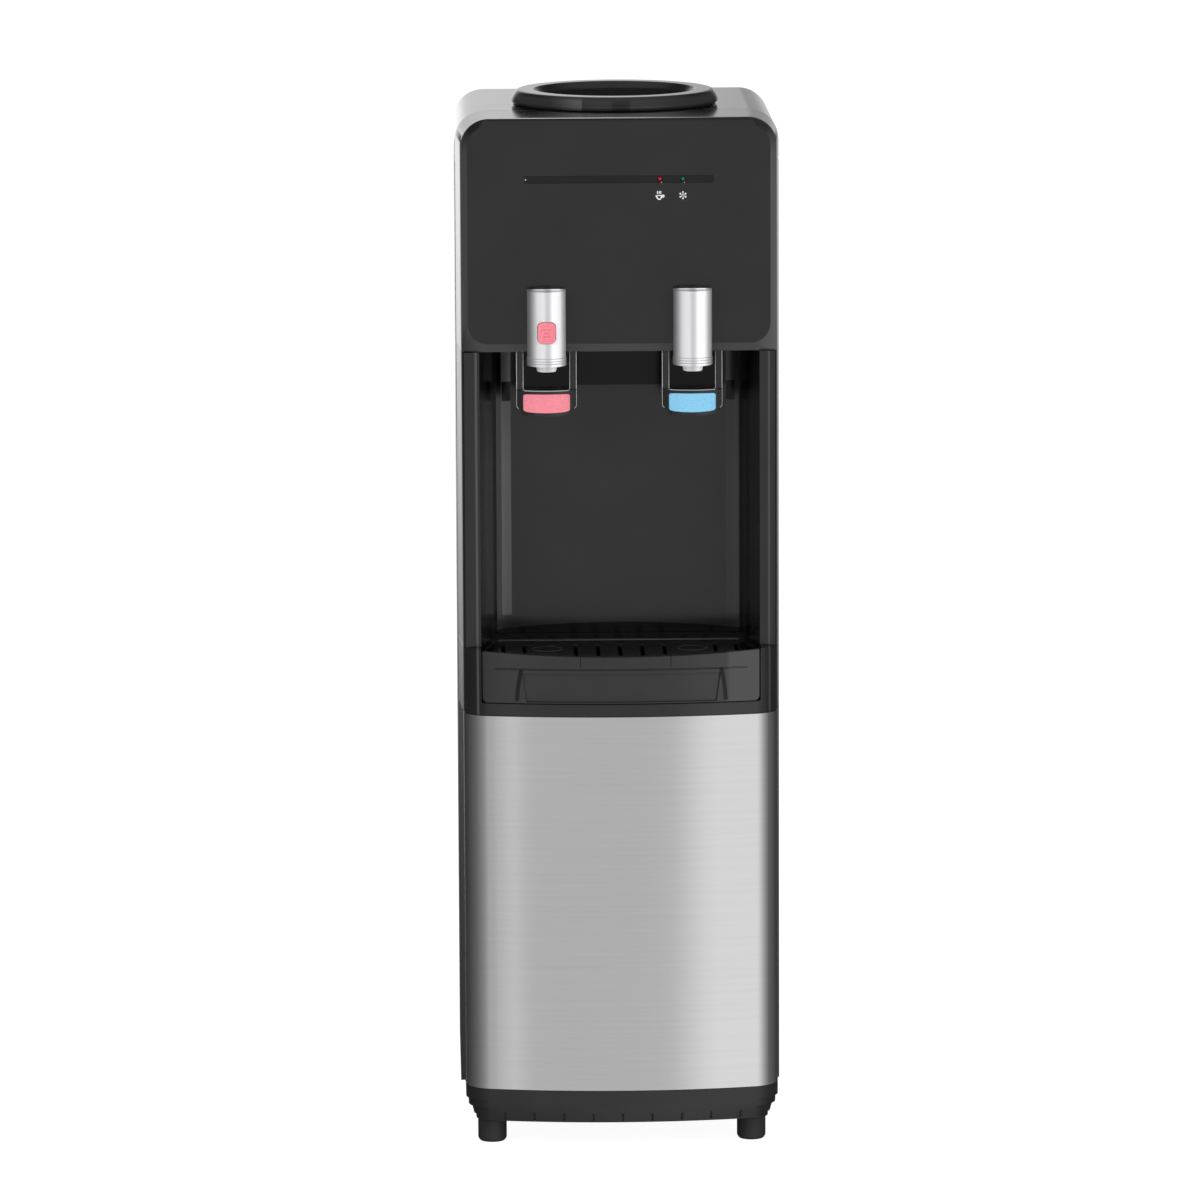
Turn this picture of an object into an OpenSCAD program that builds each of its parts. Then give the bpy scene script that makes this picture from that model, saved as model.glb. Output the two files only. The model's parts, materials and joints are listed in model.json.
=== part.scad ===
// Top loading hot and cold water cooler, standing on four feet.
// Millimetres. The origin lies on the floor under the middle of the cooler,
// +Z is up, the taps face -Y and +X is on the right of someone facing them.

/* [Overall] */
// Depth from the bowed front to the back of the condenser
overall_d = 360; // [350:1:380]
// Width of the steel cabinet
body_w = 313; // [308:1:330]
// Width of the plastic front
front_w = 304; // [298:1:307]
// Depth of the plastic front, from the flat panel to the cabinet's edge
front_module_d = 80; // [76:1:90]
// Distance that the bowed lower front stands ahead of the flat upper panel
front_bow = 30; // [30:1:36]
// Radius of the bow, seen from above
bow_r = 600; // [500:10:900]
// Radius of the corners at the ends of the bow
bow_corner_r = 29; // [22:1:34]
// Room behind the cabinet for the condenser
rear_gap = 25; // [22:1:35]

/* [Heights] */
// Height of the feet
foot_h = 26; // [18:1:40]
// Height of the plinth
plinth_h = 33.5; // [28:0.5:60]
// Height of the steel lower panel
lower_panel_h = 368; // [350:1:420]
// Height of the band that holds the drip tray
surround_h = 64.5; // [60:0.5:80]
// Height of the dispensing alcove
alcove_h = 286; // [270:1:320]
// Height of the upper front panel
fascia_h = 225; // [220:1:260]
// Height of the top cover's sides
skirt_h = 48; // [40:1:56]
// Depth of the collar's round seat in the top deck
deck_drop = 4; // [2:0.5:6]

/* [Walls and gaps] */
// Wall of the plastic mouldings
wall = 3; // [2.5:0.1:3.6]
// Thickness of the painted sheet steel
sheet = 1.2; // [0.8:0.1:1.5]
// Thickness of the stainless lower panel
steel_t = 1; // [0.6:0.1:1.5]
// Gap left where two covers meet
seam = 0.3; // [0.2:0.1:0.6]
// Clearance round pieces that lift or slide
slack = 0.5; // [0.4:0.1:0.8]
// Radial clearance of a pin in its bore
pin_fit = 0.05; // [0.03:0.01:0.08]

/* [Front panels] */
// Radius of the upper panel's top corners
top_corner_r = 28; // [20:1:32]
// Width of the sloping border round the raised field
border_w = 7; // [5:0.5:9]
// Depth of that sloping border
border_d = 3; // [1.5:0.5:3]
// Radius of the raised field's corners
field_r = 19; // [12:1:24]
// Width of the alcove's pillars
pillar_w = 17.5; // [14:0.5:22]
// Width of the alcove's back wall
alcove_back_w = 210; // [196:1:214]
// Depth of the alcove behind the flat panel
alcove_d = 84; // [80:1:92]
// Width of each lighter strip beside the alcove's back wall
strip_w = 13; // [8:1:13]
// Depth of each lighter strip
strip_d = 3.5; // [2:0.5:6]

/* [Display] */
// Length of the dark display strip
display_w = 181; // [150:1:200]
// Height of the display strip
display_h = 7; // [6:0.5:9]
// Distance of the display strip below the top rim
display_drop = 59; // [50:1:70]
// Place of the red lamp to the right of the middle
hot_lamp_x = 39.5; // [30:0.5:44]
// Place of the green lamp to the right of the middle
cold_lamp_x = 61.5; // [54:0.5:70]
// Radius of the lamps
lamp_r = 2.4; // [1.5:0.1:2.6]

/* [Taps and levers] */
// Distance of each tap from the middle
tap_x = 70; // [66:1:74]
// Width of a tap body
tap_w = 37; // [34:0.5:40]
// Reach of a tap body in front of the flat panel
tap_reach = 28.5; // [28:0.5:28.5]
// Height of a tap body
tap_h = 75; // [72:0.5:80]
// Length of tap body below the panel's lower edge
tap_drop = 14; // [12:0.5:16]
// Outer radius of a nozzle
nozzle_r = 10.2; // [9:0.1:11]
// Bore radius of a nozzle
nozzle_bore_r = 5; // [3.5:0.1:5.5]
// Height of a nozzle under its tap
nozzle_h = 7; // [5:0.5:9]
// Radius of a tap's shank
shank_r = 8; // [7:0.1:8.4]
// Width of a lever
lever_w = 58; // [54:1:60]
// Length of a lever below the panel's lower edge
lever_drop = 60; // [55:1:68]
// Width of a lever's side arms
arm_w = 7; // [5:0.5:9]
// Depth of a lever's side arms
arm_d = 12; // [10:0.5:13]
// Height of a lever's bowed lower block
block_h = 23; // [20:0.5:26]
// Distance that the block bows forward of the arms
block_bow = 9; // [6:0.5:9]
// Width of a pad
pad_w = 45; // [40:1:46]
// Height of a pad
pad_h = 17; // [14:0.5:18]
// Distance of a pad above the lever's lower edge
pad_lift = 2.5; // [2:0.5:4]
// Distance that a pad stands proud of its lever
pad_proud = 0.8; // [0.4:0.1:1.2]
// Height of the lever's pin above the panel's lower edge
pin_z = 14; // [13:0.5:15]
// Radius of the lever's pin
pin_r = 2.5; // [2:0.1:3]
// Width of the lock button
lock_w = 17; // [14:0.5:18]
// Height of the lock button
lock_h = 20; // [16:0.5:21]
// Travel of the lock button
lock_travel = 3; // [2:0.5:3]
// Distance that the lock button stands proud of its tap
lock_proud = 1.5; // [1:0.1:1.5]

/* [Drip tray] */
// Width of the drip tray
tray_w = 267; // [250:1:270]
// Height of the drip tray
tray_h = 45.5; // [40:0.5:46]
// Gap beside the tray's front
tray_gap = 1; // [0.6:0.1:1.5]
// Wall of the drip tray
tray_wall = 2.5; // [2:0.1:3]
// Height of the bar under the tray
bar_h = 12.5; // [10:0.5:14]
// Distance of the tray's groove line below its top
groove_drop = 13; // [10:0.5:15]
// Width of the finger recess in the tray's front
recess_w = 200; // [160:1:220]
// Depth of the finger recess
recess_d = 3; // [2:0.5:3.5]
// Thickness of the grille
grille_t = 3; // [2.5:0.1:3.5]
// Distance between the grille's slots
slot_pitch = 21.5; // [20:0.5:22]
// Width of the grille's slots
slot_w = 3.8; // [3:0.1:5]
// Radius of the round cup marks on the grille
cup_mark_r = 15; // [12:0.5:17]

/* [Bottle seat] */
// Place of the bottle seat's middle behind the flat panel
seat_set = 145; // [142:1:150]
// Outer radius of the collar
collar_r = 100.5; // [98:0.5:102]
// Radius of the collar's top and foot
collar_edge_r = 95.5; // [94:0.5:97]
// Radius of the collar's opening
collar_bore_r = 72.5; // [68:0.5:74]
// Height of the collar above the deck
collar_h = 18.5; // [16:0.5:22]
// Radius of the bottle seat's hole in the deck
well_r = 84; // [82:0.5:86]
// Radius of the water probe
probe_r = 8; // [7:0.1:9]
// Height of the probe's tip below the deck
probe_drop = 14; // [12:1:18]

/* [Tanks] */
// Outer radius of the cold tank
cold_r = 75; // [70:0.5:76]
// Height of the cold tank
cold_h = 134; // [128:1:136]
// Thickness of the tank walls
tank_t = 1; // [0.8:0.1:1.5]
// Thickness of the cold tank's jacket
jacket_t = 14; // [12:0.5:16]
// Room for the evaporator between tank and jacket
coil_room = 7; // [6.8:0.1:8]
// Thickness of the floor of each tank's jacket
jacket_floor = 12; // [10:0.5:13]
// Radius of the evaporator's tube
coil_tube_r = 3; // [2.5:0.1:3]
// Turns of the evaporator
coil_turns = 6; // [4:1:6]
// Outer radius of the hot tank
hot_r = 50; // [45:0.5:55]
// Height of the hot tank
hot_tank_h = 120; // [110:1:130]
// Place of the hot tank behind the cooler's middle
hot_tank_y = 45; // [40:1:50]
// Height of the hot tank's shelf below the alcove's top
hot_shelf_drop = 218; // [205:1:230]
// Width of the heater band
heater_h = 40; // [30:1:50]

/* [Cooling unit] */
// Radius of the compressor's body
comp_r = 66; // [60:1:70]
// Height of the compressor's body
comp_h = 150; // [140:1:160]
// Place of the compressor behind the cooler's middle
comp_y = 62; // [56:1:66]
// Spacing of the compressor's feet across the cooler
comp_foot_x = 160; // [152:1:170]
// Spacing of the compressor's feet along the cooler
comp_foot_y = 90; // [80:1:100]
// Height of the open bay at the back
bay_h = 190; // [185:1:210]
// Room on each side of the condenser
cond_margin = 31.5; // [26:0.5:40]
// Distance between the condenser's runs
cond_pitch = 44; // [40:1:48]
// Runs of the condenser's tube
cond_runs = 13; // [9:2:13]
// Radius of the condenser's tube
cond_tube_r = 2.5; // [2:0.1:2.7]
// Diameter of the condenser's wires
cond_wire_d = 1.6; // [1.2:0.1:1.8]
// Distance between the condenser's wires
cond_wire_pitch = 9; // [7:0.5:12]

/* [Feet and mounts] */
// Radius of a foot
foot_r = 14; // [12:0.5:16]
// Spacing of the feet across the cooler
foot_span_x = 253; // [240:1:256]
// Spacing of the feet along the cooler
foot_span_y = 250; // [236:1:256]
// Radius of the bore in the cord gland
gland_bore_r = 4; // [3:0.1:4.5]
// Radius of the drain spout
drain_r = 6; // [5:0.1:7]

/* [Hidden] */
$fn = 64;

eps = 0.01;
over = 1;

// Places along Y
y_front = -overall_d / 2;
y_flat = y_front + front_bow;
y_seam = y_flat + front_module_d;
y_cond = overall_d / 2;
y_rear = y_cond - rear_gap;
y_alcove = y_flat + alcove_d;
y_seat = y_flat + seat_set;

// Places along Z
z_panel = foot_h + plinth_h;
z_surround = z_panel + lower_panel_h;
z_alcove = z_surround + surround_h;
z_fascia = z_alcove + alcove_h;
z_top = z_fascia + fascia_h;
z_deck = z_top - deck_drop;
z_skirt = z_top - skirt_h;
z_display = z_top - display_drop;
z_bay = z_panel + bay_h;

// Bow of the lower front
corner_x = front_w / 2 - bow_corner_r;
bow_y = y_front + bow_r;
bow_t = asin(corner_x / (bow_r - bow_corner_r));
corner_y = bow_y - sqrt(pow(bow_r - bow_corner_r, 2) - pow(corner_x, 2));
bow_steps = 28;
corner_steps = 8;

// Taps and levers, for a tap at x = 0
tap_z = z_fascia - tap_drop;
tap_front = y_flat - tap_reach;
tap_round_y = tap_front + tap_w / 2;
nozzle_y = tap_round_y;
stem_z = z_fascia + 28;
stem_r = 2.5;
shank_z = z_fascia + 46;
sleeve_r = 6;
chamber_r = 6.5;
shank_end = y_flat + 32;
bracket_t = 2.5;
bracket_y = y_flat + wall;
hub_y = y_flat + 19;
hub_z = z_fascia + pin_z;
hub_r = 6.5;
arm_y = hub_y - arm_d;
tab_t = 3;
tab_top = stem_z + 5;
lever_z = z_fascia - lever_drop;
block_r = (pow(lever_w / 2, 2) + pow(block_bow, 2)) / (2 * block_bow);
block_y = arm_y - block_bow - seam + block_r;
ear_t = 3.5;
ear_x = lever_w / 2 + slack;
pin_half = ear_x + ear_t;
stem_gap = 0.3;
stem_back = hub_y - tab_t / 2 - stem_gap;
seal_t = 2.5;
stem_front = y_flat - 6;
chamber_end = stem_front - seal_t - 5;
lock_z = z_fascia + 22;
lock_front = tap_front - lock_proud;
lock_d = 10;
lock_stop = lock_front + lock_d + lock_travel;

// Drip tray
z_tray = z_surround + bar_h + slack;
tray_top = z_tray + tray_h;
tray_back = y_alcove - slack;
grille_z = tray_top - grille_t - 1;
bay_half = tray_w / 2 + tray_gap;

// Bottle seat and tanks
shelf_z = z_fascia + wall + seam;
cold_z = shelf_z + sheet + jacket_floor;
cold_top = cold_z + cold_h;
jacket_in_r = cold_r + coil_room;
jacket_r = jacket_in_r + jacket_t;
lid_z = cold_top + tank_t;
lobe_r = collar_r + 2.5;
seat_r = collar_edge_r + 2.5;
neck_r = 34;
funnel_t = 2.5;
funnel_foot = lid_z + 3;
outlet_y = y_seat - jacket_r - 2;
feed_x = 30;
feed_stub = 14;
coil_steps = 24;
coil_r = (cold_r + 0.1) / cos(180 / coil_steps) + coil_tube_r;
coil_back = y_seat + coil_r + coil_tube_r + seam;
coil_high = cold_top - 18;
coil_pitch = (coil_high - shank_z) / (coil_turns - 1);
coil_low = shank_z - coil_pitch;
hot_shelf_z = z_fascia - hot_shelf_drop;
hot_z = hot_shelf_z + sheet + jacket_floor;
hot_top = hot_z + hot_tank_h;
hot_in_r = hot_r + 3.5;
hot_jacket_r = hot_in_r + jacket_t;
tank_stub = 12;
outlet_stub = 15;
feed_z = hot_z + 12;
side_in = body_w / 2 - sheet;

// Cooling unit
comp_z = z_panel + 16;
cond_y = y_cond - cond_wire_d - 0.1 - cond_tube_r;
cond_low = z_bay + 66;
cond_high = cond_low + (cond_runs - 1) * cond_pitch;
cond_half = body_w / 2 - cond_margin;
cond_w = 2 * cond_half;
wire_low = cond_low - 12;
wire_high = cond_high + 12;
pipe_r = 3;
side_x = 118;
riser_x = body_w / 2 - 20;
hot_riser_y = 8;
cap_y = 34;
suction_y = 118;
liquid_y = y_seat + jacket_r + 15;
drier_z = z_bay - 70;
drier_h = 74;
service_z = z_bay + 30;
switch_x = body_w / 2 - 44.5;
switch_w = 13;
switch_h = 19;
switch_pitch = 22;
pivot_y = y_rear - 3;
pivot_r = 1.5;
spout_d = rear_gap - 6;
loop_x = 90;
loop_z = z_bay + 50;
gland_x = -switch_x;

// Points of the bowed outline, moved inwards by inset, from the left side round to the right
function bow_points(inset = 0) = let (r = bow_corner_r - inset, big = bow_r - inset) concat(
    [for (i = [0:corner_steps]) let (a = 180 + (90 - bow_t) * i / corner_steps)
        [-corner_x + r * cos(a), corner_y + r * sin(a)]],
    [for (i = [1:bow_steps - 1]) let (a = 270 - bow_t + 2 * bow_t * i / bow_steps)
        [big * cos(a), bow_y + big * sin(a)]],
    [for (i = [0:corner_steps]) let (a = 270 + bow_t + (90 - bow_t) * i / corner_steps)
        [corner_x + r * cos(a), corner_y + r * sin(a)]]
);

// The bowed plan outline, closed straight at the back
module bow_shape(inset, back) {
    half = front_w / 2 - inset;
    polygon(concat(bow_points(inset), [[half, back], [-half, back]]));
}

// The same outline cut flat at the plane of the upper panel
module flat_shape(inset, back) {
    intersection() {
        bow_shape(inset, back);
        translate([-front_w, y_flat + inset]) square([2 * front_w, overall_d]);
    }
}

// A band of the bowed outline between two insets
module bow_band(outer, inner) {
    near = bow_points(outer);
    far = bow_points(inner);
    polygon(concat(near, [for (i = [len(far) - 1:-1:0]) far[i]]));
}

// A rectangle from corner to corner
module span(x0, x1, y0, y1) {
    translate([x0, y0]) square([x1 - x0, y1 - y0]);
}

// A rectangle about x = 0 with round corners
module round_rect(w, h, r) {
    translate([-w / 2 + r, -h / 2]) square([w - 2 * r, h]);
    translate([-w / 2, -h / 2 + r]) square([w, h - 2 * r]);
    for (sx = [-1, 1], sy = [-1, 1]) translate([sx * (w / 2 - r), sy * (h / 2 - r)]) circle(r);
}

// A front view outline with round top corners
module arch(half, low, high, r) {
    intersection() {
        span(-half, half, low, high);
        union() {
            span(-half, half, low, high - r);
            span(-half + r, half - r, low, high);
            for (s = [-1, 1]) translate([s * (half - r), high - r]) circle(r);
        }
    }
}

// Extrudes a front view outline between two places along Y
module along_y(y0, y1) {
    translate([0, y1, 0]) rotate([90, 0, 0]) linear_extrude(y1 - y0) children();
}

// A box between two corners
module block(low, high) {
    translate(low) cube(high - low);
}

// A cylinder along Y between two places
module bar_y(x, z, r, y0, y1) {
    translate([x, y1, z]) rotate([90, 0, 0]) cylinder(h = y1 - y0, r = r);
}

// A cylinder along X between two places
module bar_x(y, z, r, x0, x1) {
    translate([x0, y, z]) rotate([0, 90, 0]) cylinder(h = x1 - x0, r = r);
}

// A round tube along a list of points, with square turns bent to a radius
module tube(points, r, bend = 8) {
    last = len(points) - 1;
    for (i = [0:last - 1]) {
        step = points[i + 1] - points[i];
        way = step / norm(step);
        len_xy = norm([step.x, step.y]);
        cut = (i > 0 ? bend : 0) + (i < last - 1 ? bend : 0);
        translate(points[i] + way * (i > 0 ? bend : 0))
            rotate([0, atan2(len_xy, step.z), atan2(step.y, step.x)]) cylinder(h = norm(step) - cut, r = r);
        if (i > 0) {
            from = (points[i] - points[i - 1]) / norm(points[i] - points[i - 1]);
            up = cross(from, way);
            c = points[i] - from * bend + way * bend;
            multmatrix([[-way.x, from.x, up.x, c.x], [-way.y, from.y, up.y, c.y],
                [-way.z, from.z, up.z, c.z]])
                rotate_extrude(angle = 90) translate([bend, 0]) circle(r, $fn = 32);
        }
    }
}

// A helical tube of six sides about the Z axis
module helix(radius, low, high, turns, r) {
    steps = coil_steps;
    count = steps * turns;
    sides = 6;
    rings = [for (i = [0:count]) let (a = 360 * i / steps, z = low + (high - low) * i / count)
        for (k = [0:sides - 1]) let (b = 360 * k / sides, d = radius + r * cos(b))
            [d * cos(a), d * sin(a), z + r * sin(b)]];
    walls = [for (i = [0:count - 1], k = [0:sides - 1]) let (n = (k + 1) % sides)
        each [[i * sides + k, (i + 1) * sides + k, (i + 1) * sides + n],
              [i * sides + k, (i + 1) * sides + n, i * sides + n]]];
    caps = [[for (k = [0:sides - 1]) k], [for (k = [sides - 1:-1:0]) count * sides + k]];
    polyhedron(rings, concat(walls, caps));
}

// Half width of the flat outline at a depth behind the flat panel
function flat_half(depth) = corner_x + sqrt(pow(bow_corner_r, 2) - pow(corner_y - y_flat - depth, 2));

// Shapes cut out of both shelves where pipes pass
module pipe_gaps() {
    for (p = [[-side_x, hot_riser_y], [-side_x, cap_y], [0, suction_y]])
        translate([p.x, p.y, 0]) cylinder(h = z_top, r = pipe_r + 5);
}

// The bowed outline moved in by side round its corners and by front along its bow
module tier_shape(side, front, back) {
    half = front_w / 2 - side;
    r = bow_corner_r - front;
    rounds = [for (i = [0:corner_steps]) let (a = 180 + (90 - bow_t) * i / corner_steps,
        w = min(1, 1.8 * (1 - i / corner_steps)), d = r + (front - side) * w)
        [-corner_x + d * cos(a), corner_y + d * sin(a)]];
    bow = [for (i = [1:bow_steps - 1]) let (a = 270 - bow_t + 2 * bow_t * i / bow_steps)
        [(bow_r - front) * cos(a), bow_y + (bow_r - front) * sin(a)]];
    polygon(concat(rounds, bow, [for (i = [corner_steps:-1:0]) [-rounds[i].x, rounds[i].y]],
        [[half, back], [-half, back]]));
}

// One tier of the plinth, between two heights above the feet
module tier(low, high, side, front, side_low, front_low) {
    hull() {
        translate([0, 0, foot_h + high - eps]) linear_extrude(eps) tier_shape(side, front, y_rear - front);
        translate([0, 0, foot_h + low]) linear_extrude(eps)
            tier_shape(side_low, front_low, y_rear - front_low);
    }
}

module base_tray() {
    step_h = 12;
    taper_in = 11;
    mid = plinth_h - 19.5;
    groove_pitch = 28.6;
    groove_z = foot_h + 2;
    color("black") difference() {
        union() {
            translate([0, 0, z_panel - step_h]) linear_extrude(step_h) {
                bow_shape(0, y_seam);
                span(-body_w / 2, body_w / 2, y_seam, y_rear);
            }
            tier(mid, plinth_h - step_h + eps, 2.3, 0, 2.5, 2.4);
            tier(5, mid + eps, 5.2, 2.4, 7.6, 7.9);
            tier(0, 5 + eps, 9.6, 7.9, 9.8, taper_in);
        }
        difference() {
            translate([0, 0, foot_h - over]) linear_extrude(plinth_h - wall + over)
                bow_shape(taper_in + wall, y_rear - taper_in - wall);
            for (x = [-0.5, 0.5], y = [-0.5, 0.5]) translate([x * foot_span_x, y * foot_span_y, 0])
                cylinder(h = z_panel, r = foot_r + wall);
        }
        for (x = [-0.5, 0.5], y = [-0.5, 0.5]) translate([x * foot_span_x, y * foot_span_y, 0])
            cylinder(h = z_panel - wall, r = pin_r * 2);
        for (i = [-4:4]) let (x = i * groove_pitch)
            block([x - 1, y_front, groove_z],
                [x + 1, bow_y - sqrt(pow(bow_r - taper_in, 2) - x * x) + 1, groove_z + 8]);
    }
}

module feet() {
    stem_h = 14;
    color("dimgray") for (x = [-0.5, 0.5], y = [-0.5, 0.5])
        translate([x * foot_span_x, y * foot_span_y, 0]) rotate_extrude() polygon([
            [0, 0], [foot_r - 2, 0], [foot_r, 3], [foot_r, foot_h - 4], [foot_r - 3, foot_h],
            [pin_r * 2 - pin_fit, foot_h], [pin_r * 2 - pin_fit, foot_h + stem_h], [0, foot_h + stem_h]
        ]);
}

// One side panel of bent sheet, with a flange at its front and its back; s is -1 or 1
module side_panel(s) {
    flange = 12;
    low = z_panel;
    high = z_skirt - seam;
    color("dimgray") difference() {
        mirror([s < 0 ? 1 : 0, 0, 0]) translate([0, 0, low]) linear_extrude(high - low) {
            span(side_in, body_w / 2, y_seam, y_rear);
            span(body_w / 2 - flange, body_w / 2, y_seam, y_seam + sheet);
            span(body_w / 2 - flange, body_w / 2, y_rear - sheet, y_rear);
        }
        bar_x(y_seam + 40, z_fascia + 2, 1.6, -body_w, body_w);
    }
}

module left_side_panel() {
    side_panel(-1);
}

module right_side_panel() {
    side_panel(1);
}

module rear_panel() {
    half = body_w / 2 - 4;
    rows = 9;
    column_x = 76;
    slot_half = 26;
    color("dimgray") difference() {
        union() {
            block([-half, y_rear, z_bay], [half, y_rear + sheet, z_skirt - seam]);
            for (x = [-1, 0, 1], i = [0:rows - 1]) hood(x * column_x, louvre_z(i), slot_half);
            block([-half + 12, y_rear - 14, z_bay], [half - 12, y_rear + eps, z_bay + sheet]);
        }
        for (x = [-1, 0, 1], i = [0:rows - 1]) let (z = louvre_z(i))
            block([x * column_x - slot_half, y_rear - over, z],
                [x * column_x + slot_half, y_rear + sheet, z + 4]);
        for (i = [0, 1]) switch_hole(i);
        bar_y(gland_x, service_z, 9 + slack, y_rear - over, y_rear + rear_gap);
        bar_y(0, service_z, drain_r + 2, y_rear - over, y_rear + rear_gap);
    }
}

// Height of one row of louvres, below the top of the rear panel
function louvre_z(row) = z_skirt - 24 - row * 10;

// The pressed hood over a louvre
module hood(x, z, half) {
    rise = 2.6;
    difference() {
        block([x - half - 2, y_rear + sheet, z - 1.5], [x + half + 2, y_rear + sheet + rise, z + 5.5]);
        block([x - half, y_rear, z - 2], [x + half, y_rear + sheet + rise - 1, z + 4.5]);
    }
}

module switch_hole(i) {
    translate([switch_x - i * switch_pitch, 0, service_z]) along_y(y_rear - over, y_rear + sheet + over)
        span(-switch_w / 2 - 1.5, switch_w / 2 + 1.5, -switch_h / 2 - 1.5, switch_h / 2 + 1.5);
}

module top_cover() {
    back = y_rear + sheet;
    half = body_w / 2;
    r = top_corner_r + 2;
    color("darkgray") difference() {
        union() {
            difference() {
                along_y(y_seam, back) arch(half, z_skirt, z_top, r);
                along_y(y_seam - over, back - wall)
                    arch(half - wall, z_skirt - over, z_top - wall, r - wall);
            }
            translate([0, y_seat, z_deck - wall]) cylinder(h = deck_drop + wall, r = lobe_r);
        }
        translate([0, y_seat, z_deck]) cylinder(h = deck_drop + over, r = seat_r);
        translate([0, y_seat, z_deck - 2 * wall]) cylinder(h = 3 * wall, r = well_r);
    }
}

module upper_front_panel() {
    half = front_w / 2;
    edge = flat_half(border_d);
    field_h = fascia_h - 2 * border_w - 2;
    low = z_fascia + seam;
    color("#303133") difference() {
        union() {
            intersection() {
                along_y(y_flat + border_d, y_seam - seam) arch(half, low, z_top, top_corner_r);
                translate([0, 0, z_fascia]) linear_extrude(fascia_h) flat_shape(0, y_seam);
            }
            hull() {
                along_y(y_flat + border_d, y_flat + border_d + eps)
                    arch(edge, low, z_top, top_corner_r, $fn = 32);
                translate([0, 0, z_fascia + fascia_h / 2]) along_y(y_flat, y_flat + eps)
                    round_rect(front_w - 2 * border_w, field_h, field_r, $fn = 32);
            }
        }
        along_y(y_flat + wall, y_seam)
            arch(half - wall, z_fascia - over, z_top - wall, top_corner_r - wall);
        translate([0, y_seat, z_deck - 2 * wall]) cylinder(h = 4 * wall, r = lobe_r + seam);
        translate([0, 0, z_display]) along_y(y_flat - over, y_flat + 2 * wall)
            round_rect(display_w, display_h, 1.5);
        for (s = [-1, 1]) {
            bar_y(s * tap_x, shank_z, shank_r + seam, y_flat - over, y_flat + 2 * wall);
            bar_y(s * tap_x, stem_z, sleeve_r + seam, y_flat - over, y_flat + 2 * wall);
        }
    }
}

module display_strip() {
    color("#16171a") difference() {
        translate([0, 0, z_display]) {
            along_y(y_flat + 0.6, y_flat + wall) round_rect(display_w - 0.4, display_h - 0.4, 1.3);
            along_y(y_flat + wall, y_flat + wall + 1.5) round_rect(display_w + 6, display_h + 6, 1.5);
        }
        for (x = [hot_lamp_x, cold_lamp_x])
            bar_y(x, z_display, lamp_r + 0.1, y_flat - over, y_flat + 2 * wall);
    }
}

// A lamp with a round nose, standing on the lamp board
module lamp(x) {
    nose = y_flat + 0.6 + lamp_r;
    bar_y(x, z_display, lamp_r, nose, y_flat + wall + 6);
    translate([x, nose, z_display]) sphere(lamp_r);
}

module hot_lamp() {
    color("crimson") lamp(hot_lamp_x);
}

module cold_lamp() {
    color("mediumseagreen") lamp(cold_lamp_x);
}

module lamp_board() {
    board_y = y_flat + wall + 6;
    color("darkgreen") difference() {
        union() {
            block([-30, board_y, z_display - 9], [display_w / 2, board_y + 1.6, z_display + 9]);
            for (x = [-24, display_w / 2 - 6])
                bar_y(x, z_display - 5.5, 2, y_flat + wall + 1.5, board_y);
        }
        bar_y(0, z_display + 4, 1.5, board_y - over, board_y + 2 * over);
    }
}

module alcove_liner() {
    half = front_w / 2;
    in_half = half - pillar_w;
    low = z_alcove;
    high = z_fascia;
    color("#2c2d2f") difference() {
        union() {
            translate([0, 0, low]) linear_extrude(high - low) difference() {
                alcove_outline();
                alcove_space();
            }
            translate([0, 0, low]) linear_extrude(high - low) difference() {
                flat_shape(0, y_seam - seam);
                flat_shape(wall, y_seam + over);
                span(-in_half, in_half, y_flat - over, y_flat + 2 * wall);
            }
            translate([0, 0, low]) linear_extrude(wall) liner_floor_plan();
            translate([0, 0, high - wall]) linear_extrude(wall) liner_floor_plan();
            translate([0, 0, high - eps]) linear_extrude(wall) intersection() {
                alcove_outline();
                span(-half, half, y_flat + wall + seam, y_alcove + wall);
            }
        }
        for (s = [-1, 1]) translate([s * tap_x, 0, 0]) {
            block([-ear_x - ear_t - slack, y_flat, high - over],
                [ear_x + ear_t + slack, hub_y + 20, high + 2 * wall]);
        }
    }
}

// Plan of the alcove's back and side walls, with the space inside them
module alcove_outline() {
    in_half = front_w / 2 - pillar_w + wall;
    back_half = alcove_back_w / 2 + 0.15 * wall;
    strip_half = alcove_back_w / 2 + strip_w + wall;
    strip_y = y_alcove - strip_d + 0.7 * wall;
    polygon([
        [-in_half, y_flat], [-strip_half, strip_y], [-back_half, y_alcove + wall],
        [back_half, y_alcove + wall], [strip_half, strip_y], [in_half, y_flat]
    ]);
}

// Plan of the space inside the alcove
module alcove_space(inset = 0, front = y_flat - over) {
    in_half = front_w / 2 - pillar_w - inset;
    back_half = alcove_back_w / 2 - inset;
    back = y_alcove - inset;
    polygon([
        [-in_half, front], [-in_half, y_flat], [-back_half - strip_w, back - strip_d],
        [-back_half, back], [back_half, back], [back_half + strip_w, back - strip_d],
        [in_half, y_flat], [in_half, front]
    ]);
}

// Plan of the webs that close the pillars at their ends
module liner_floor_plan() {
    difference() {
        flat_shape(0, y_seam - seam);
        alcove_space();
        span(-alcove_back_w / 2, alcove_back_w / 2, y_seam - 20, y_seam + over);
    }
}

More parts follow.
